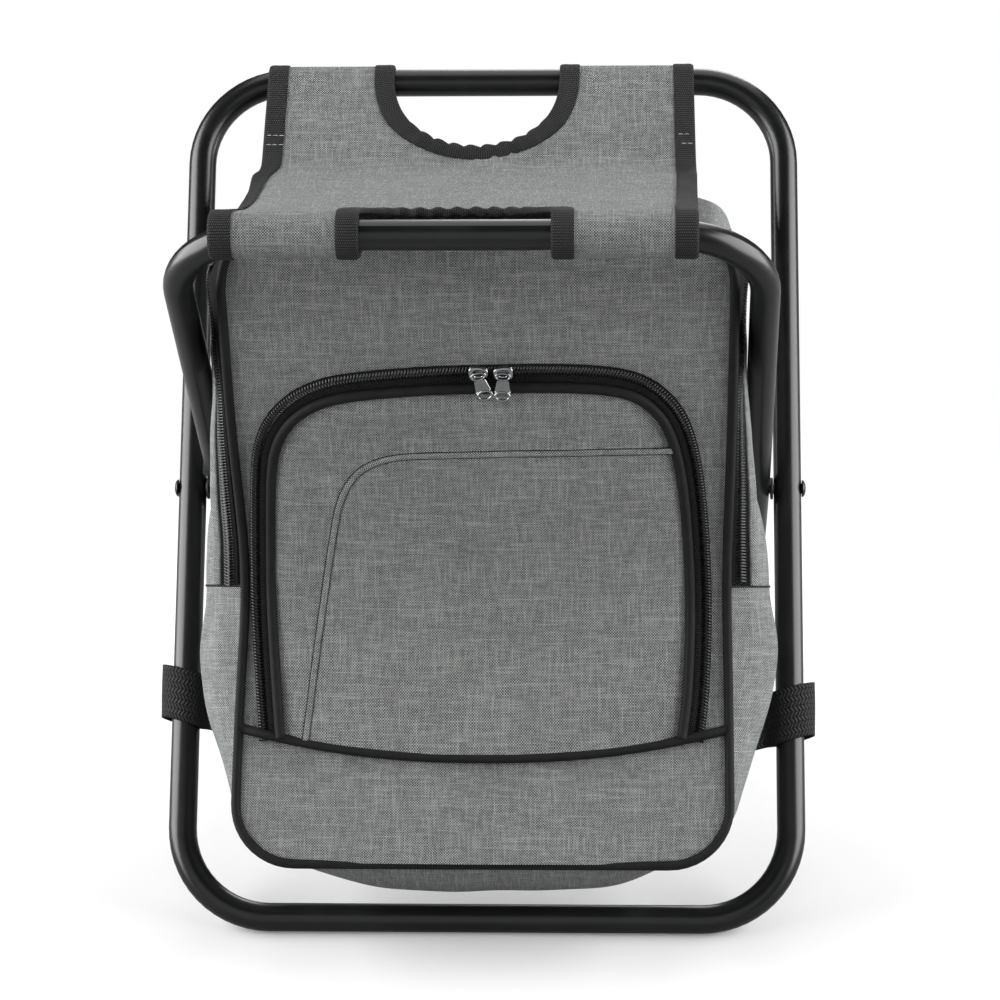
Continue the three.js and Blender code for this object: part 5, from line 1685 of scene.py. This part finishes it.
class STOOL_OT_stage(bpy.types.Operator):
    """Make the floor, the lights and the camera"""

    bl_idname = "stool.stage"
    bl_label = "Stage"

    # Each light's name, place, aim, size and power
    lights = (
        ("left_soft", (-1.8, -0.1, 0.70), (0, 0.1, 0.2), 2.0, 112.0),
        ("right_soft", (1.8, -0.1, 0.70), (0, 0.1, 0.2), 2.0, 98.0),
        ("top_soft", (0.1, 0.9, 1.9), (0, 0.1, 0.2), 1.8, 19.0),
        ("front_soft", (-0.3, -2.4, 0.75), (0, 0.1, 0.2), 2.8, 18.0),
        ("back_soft", (0.3, 2.2, 1.1), (0, 0.2, 0.2), 1.0, 14.0),
    )
    azimuth = math.radians(2.26)
    rise = math.radians(23.26)
    roll = math.radians(-0.84)
    target = np.array([0.0061, 0.142, 0.2001])
    sensor = 36.0
    lens = sensor * 3.082
    floor_half = 8.0
    floor_drop = -0.0004

    def execute(self, context):
        self.floor(context)
        self.world(context)
        for light in self.lights:
            self.lamp(context, *light)
        self.camera(context)
        context.scene.view_settings.view_transform = "Standard"
        return {"FINISHED"}

    def floor(self, context):
        """A floor that keeps the shadow near the stool and is white to the camera far from it."""
        made = Finish("pale_floor")
        colour = context.scene.stool_stage.floor
        place = made.place()
        grain = place.noise(6.0, 2.0)
        made.set(
            Base_Color=grain.tint(times(colour, 0.985), colour), Roughness=0.9, Specular_IOR_Level=0.1)
        seen = made.node("ShaderNodeLightPath", None, None, "Is Camera Ray")
        apart = made.node(
            "ShaderNodeVectorMath", {"operation": "DISTANCE"}, {0: place, 1: (0.0, 0.10, 0.0)}, "Value")
        far = apart.step(0.30, 0.75)
        lift = made.node("ShaderNodeEmission", None, {"Strength": 0.10})
        white = made.node("ShaderNodeEmission", None, {"Strength": 1.0})
        bounce = made.node("ShaderNodeBsdfDiffuse", None, {"Color": (0.28, 0.28, 0.28, 1)})
        lit = made.node("ShaderNodeAddShader", None, {0: Value(made.tree, made.shader.outputs[0]), 1: lift})
        view = made.node("ShaderNodeMixShader", None, {0: far, 1: lit, 2: white})
        both = made.node("ShaderNodeMixShader", None, {0: seen, 1: bounce, 2: view})
        made.tree.links.new(both.socket, made.tree.nodes["Material Output"].inputs["Surface"])
        size = self.floor_half
        corners = [(-1, -1), (1, -1), (1, 1), (-1, 1)]
        points = [(size * x, size * y, self.floor_drop) for x, y in corners]
        uvs = [(0, 0), (1, 0), (1, 1), (0, 1)]
        mesh_piece("floor", points, [(0, 1, 2, 3)], uvs, made.material)

    @staticmethod
    def world(context):
        """White to the camera, dim to the stool and a little dimmer in its reflections."""
        world = bpy.data.worlds.new("studio")
        context.scene.world = world
        world.use_nodes = True
        tree = world.node_tree
        sky = tree.nodes["Background"]
        path = tree.nodes.new("ShaderNodeLightPath")
        seen = Value(tree, path.outputs["Is Camera Ray"])
        mirrored = Value(tree, path.outputs["Is Glossy Ray"])
        strength = seen * 0.93 - mirrored * 0.04 + 0.07
        sky.inputs["Color"].default_value = (1, 1, 1, 1)
        tree.links.new(strength.socket, sky.inputs["Strength"])

    @staticmethod
    def lamp(context, name, place, aim, size, power):
        data = bpy.data.lights.new(name, "AREA")
        data.shape = "SQUARE"
        data.size = size
        data.energy = power
        lamp = bpy.data.objects.new(name, data)
        context.scene.collection.objects.link(lamp)
        lamp.matrix_world = looking(np.array(place, dtype=float), unit(np.array(place) - np.array(aim)))

    def camera(self, context):
        level = math.cos(self.rise)
        back = np.array([
            math.sin(self.azimuth) * level, -math.cos(self.azimuth) * level, math.sin(self.rise)])
        data = bpy.data.cameras.new("photo_view")
        data.sensor_width = self.sensor
        data.lens = self.lens
        camera = bpy.data.objects.new("photo_view", data)
        context.scene.collection.objects.link(camera)
        place = self.target + back * context.scene.stool_stage.camera_distance
        camera.matrix_world = looking(place, back, self.roll)
        context.scene.camera = camera


class STOOL_PT_pieces(bpy.types.Panel):
    """Lists the stool's settings and pieces"""

    bl_idname = "STOOL_PT_pieces"
    bl_label = "Folding cooler stool"
    bl_space_type = "VIEW_3D"
    bl_region_type = "UI"
    bl_category = "Stool"

    def draw(self, context):
        for name in GROUPS:
            group = getattr(context.scene, name)
            box = self.layout.box()
            for key in group.__annotations__:
                box.prop(group, key)
        for operator in OPERATORS:
            self.layout.operator(operator.bl_idname)


GROUPS = {
    "stool_frame": StoolFrameSettings,
    "stool_cloth": StoolClothSettings,
    "stool_bag": StoolBagSettings,
    "stool_stage": StoolStageSettings,
}
OPERATORS = (
    STOOL_OT_stage,
    STOOL_OT_tube_loops,
    STOOL_OT_pivots,
    STOOL_OT_seat,
    STOOL_OT_seat_bindings,
    STOOL_OT_bag,
    STOOL_OT_liner,
    STOOL_OT_piping,
    STOOL_OT_main_zip,
    STOOL_OT_pocket,
    STOOL_OT_sliders,
    STOOL_OT_straps,
)


def register():
    for group in GROUPS.values():
        bpy.utils.register_class(group)
    for name, group in GROUPS.items():
        setattr(bpy.types.Scene, name, PointerProperty(type=group))
    for operator in OPERATORS:
        bpy.utils.register_class(operator)
    bpy.utils.register_class(STOOL_PT_pieces)


def unregister():
    bpy.utils.unregister_class(STOOL_PT_pieces)
    for operator in reversed(OPERATORS):
        bpy.utils.unregister_class(operator)
    for name in GROUPS:
        delattr(bpy.types.Scene, name)
    for group in reversed(list(GROUPS.values())):
        bpy.utils.unregister_class(group)


def main():
    register()
    for operator in OPERATORS:
        family, name = operator.bl_idname.split(".")
        getattr(getattr(bpy.ops, family), name)()


if __name__ == "__main__":
    main()
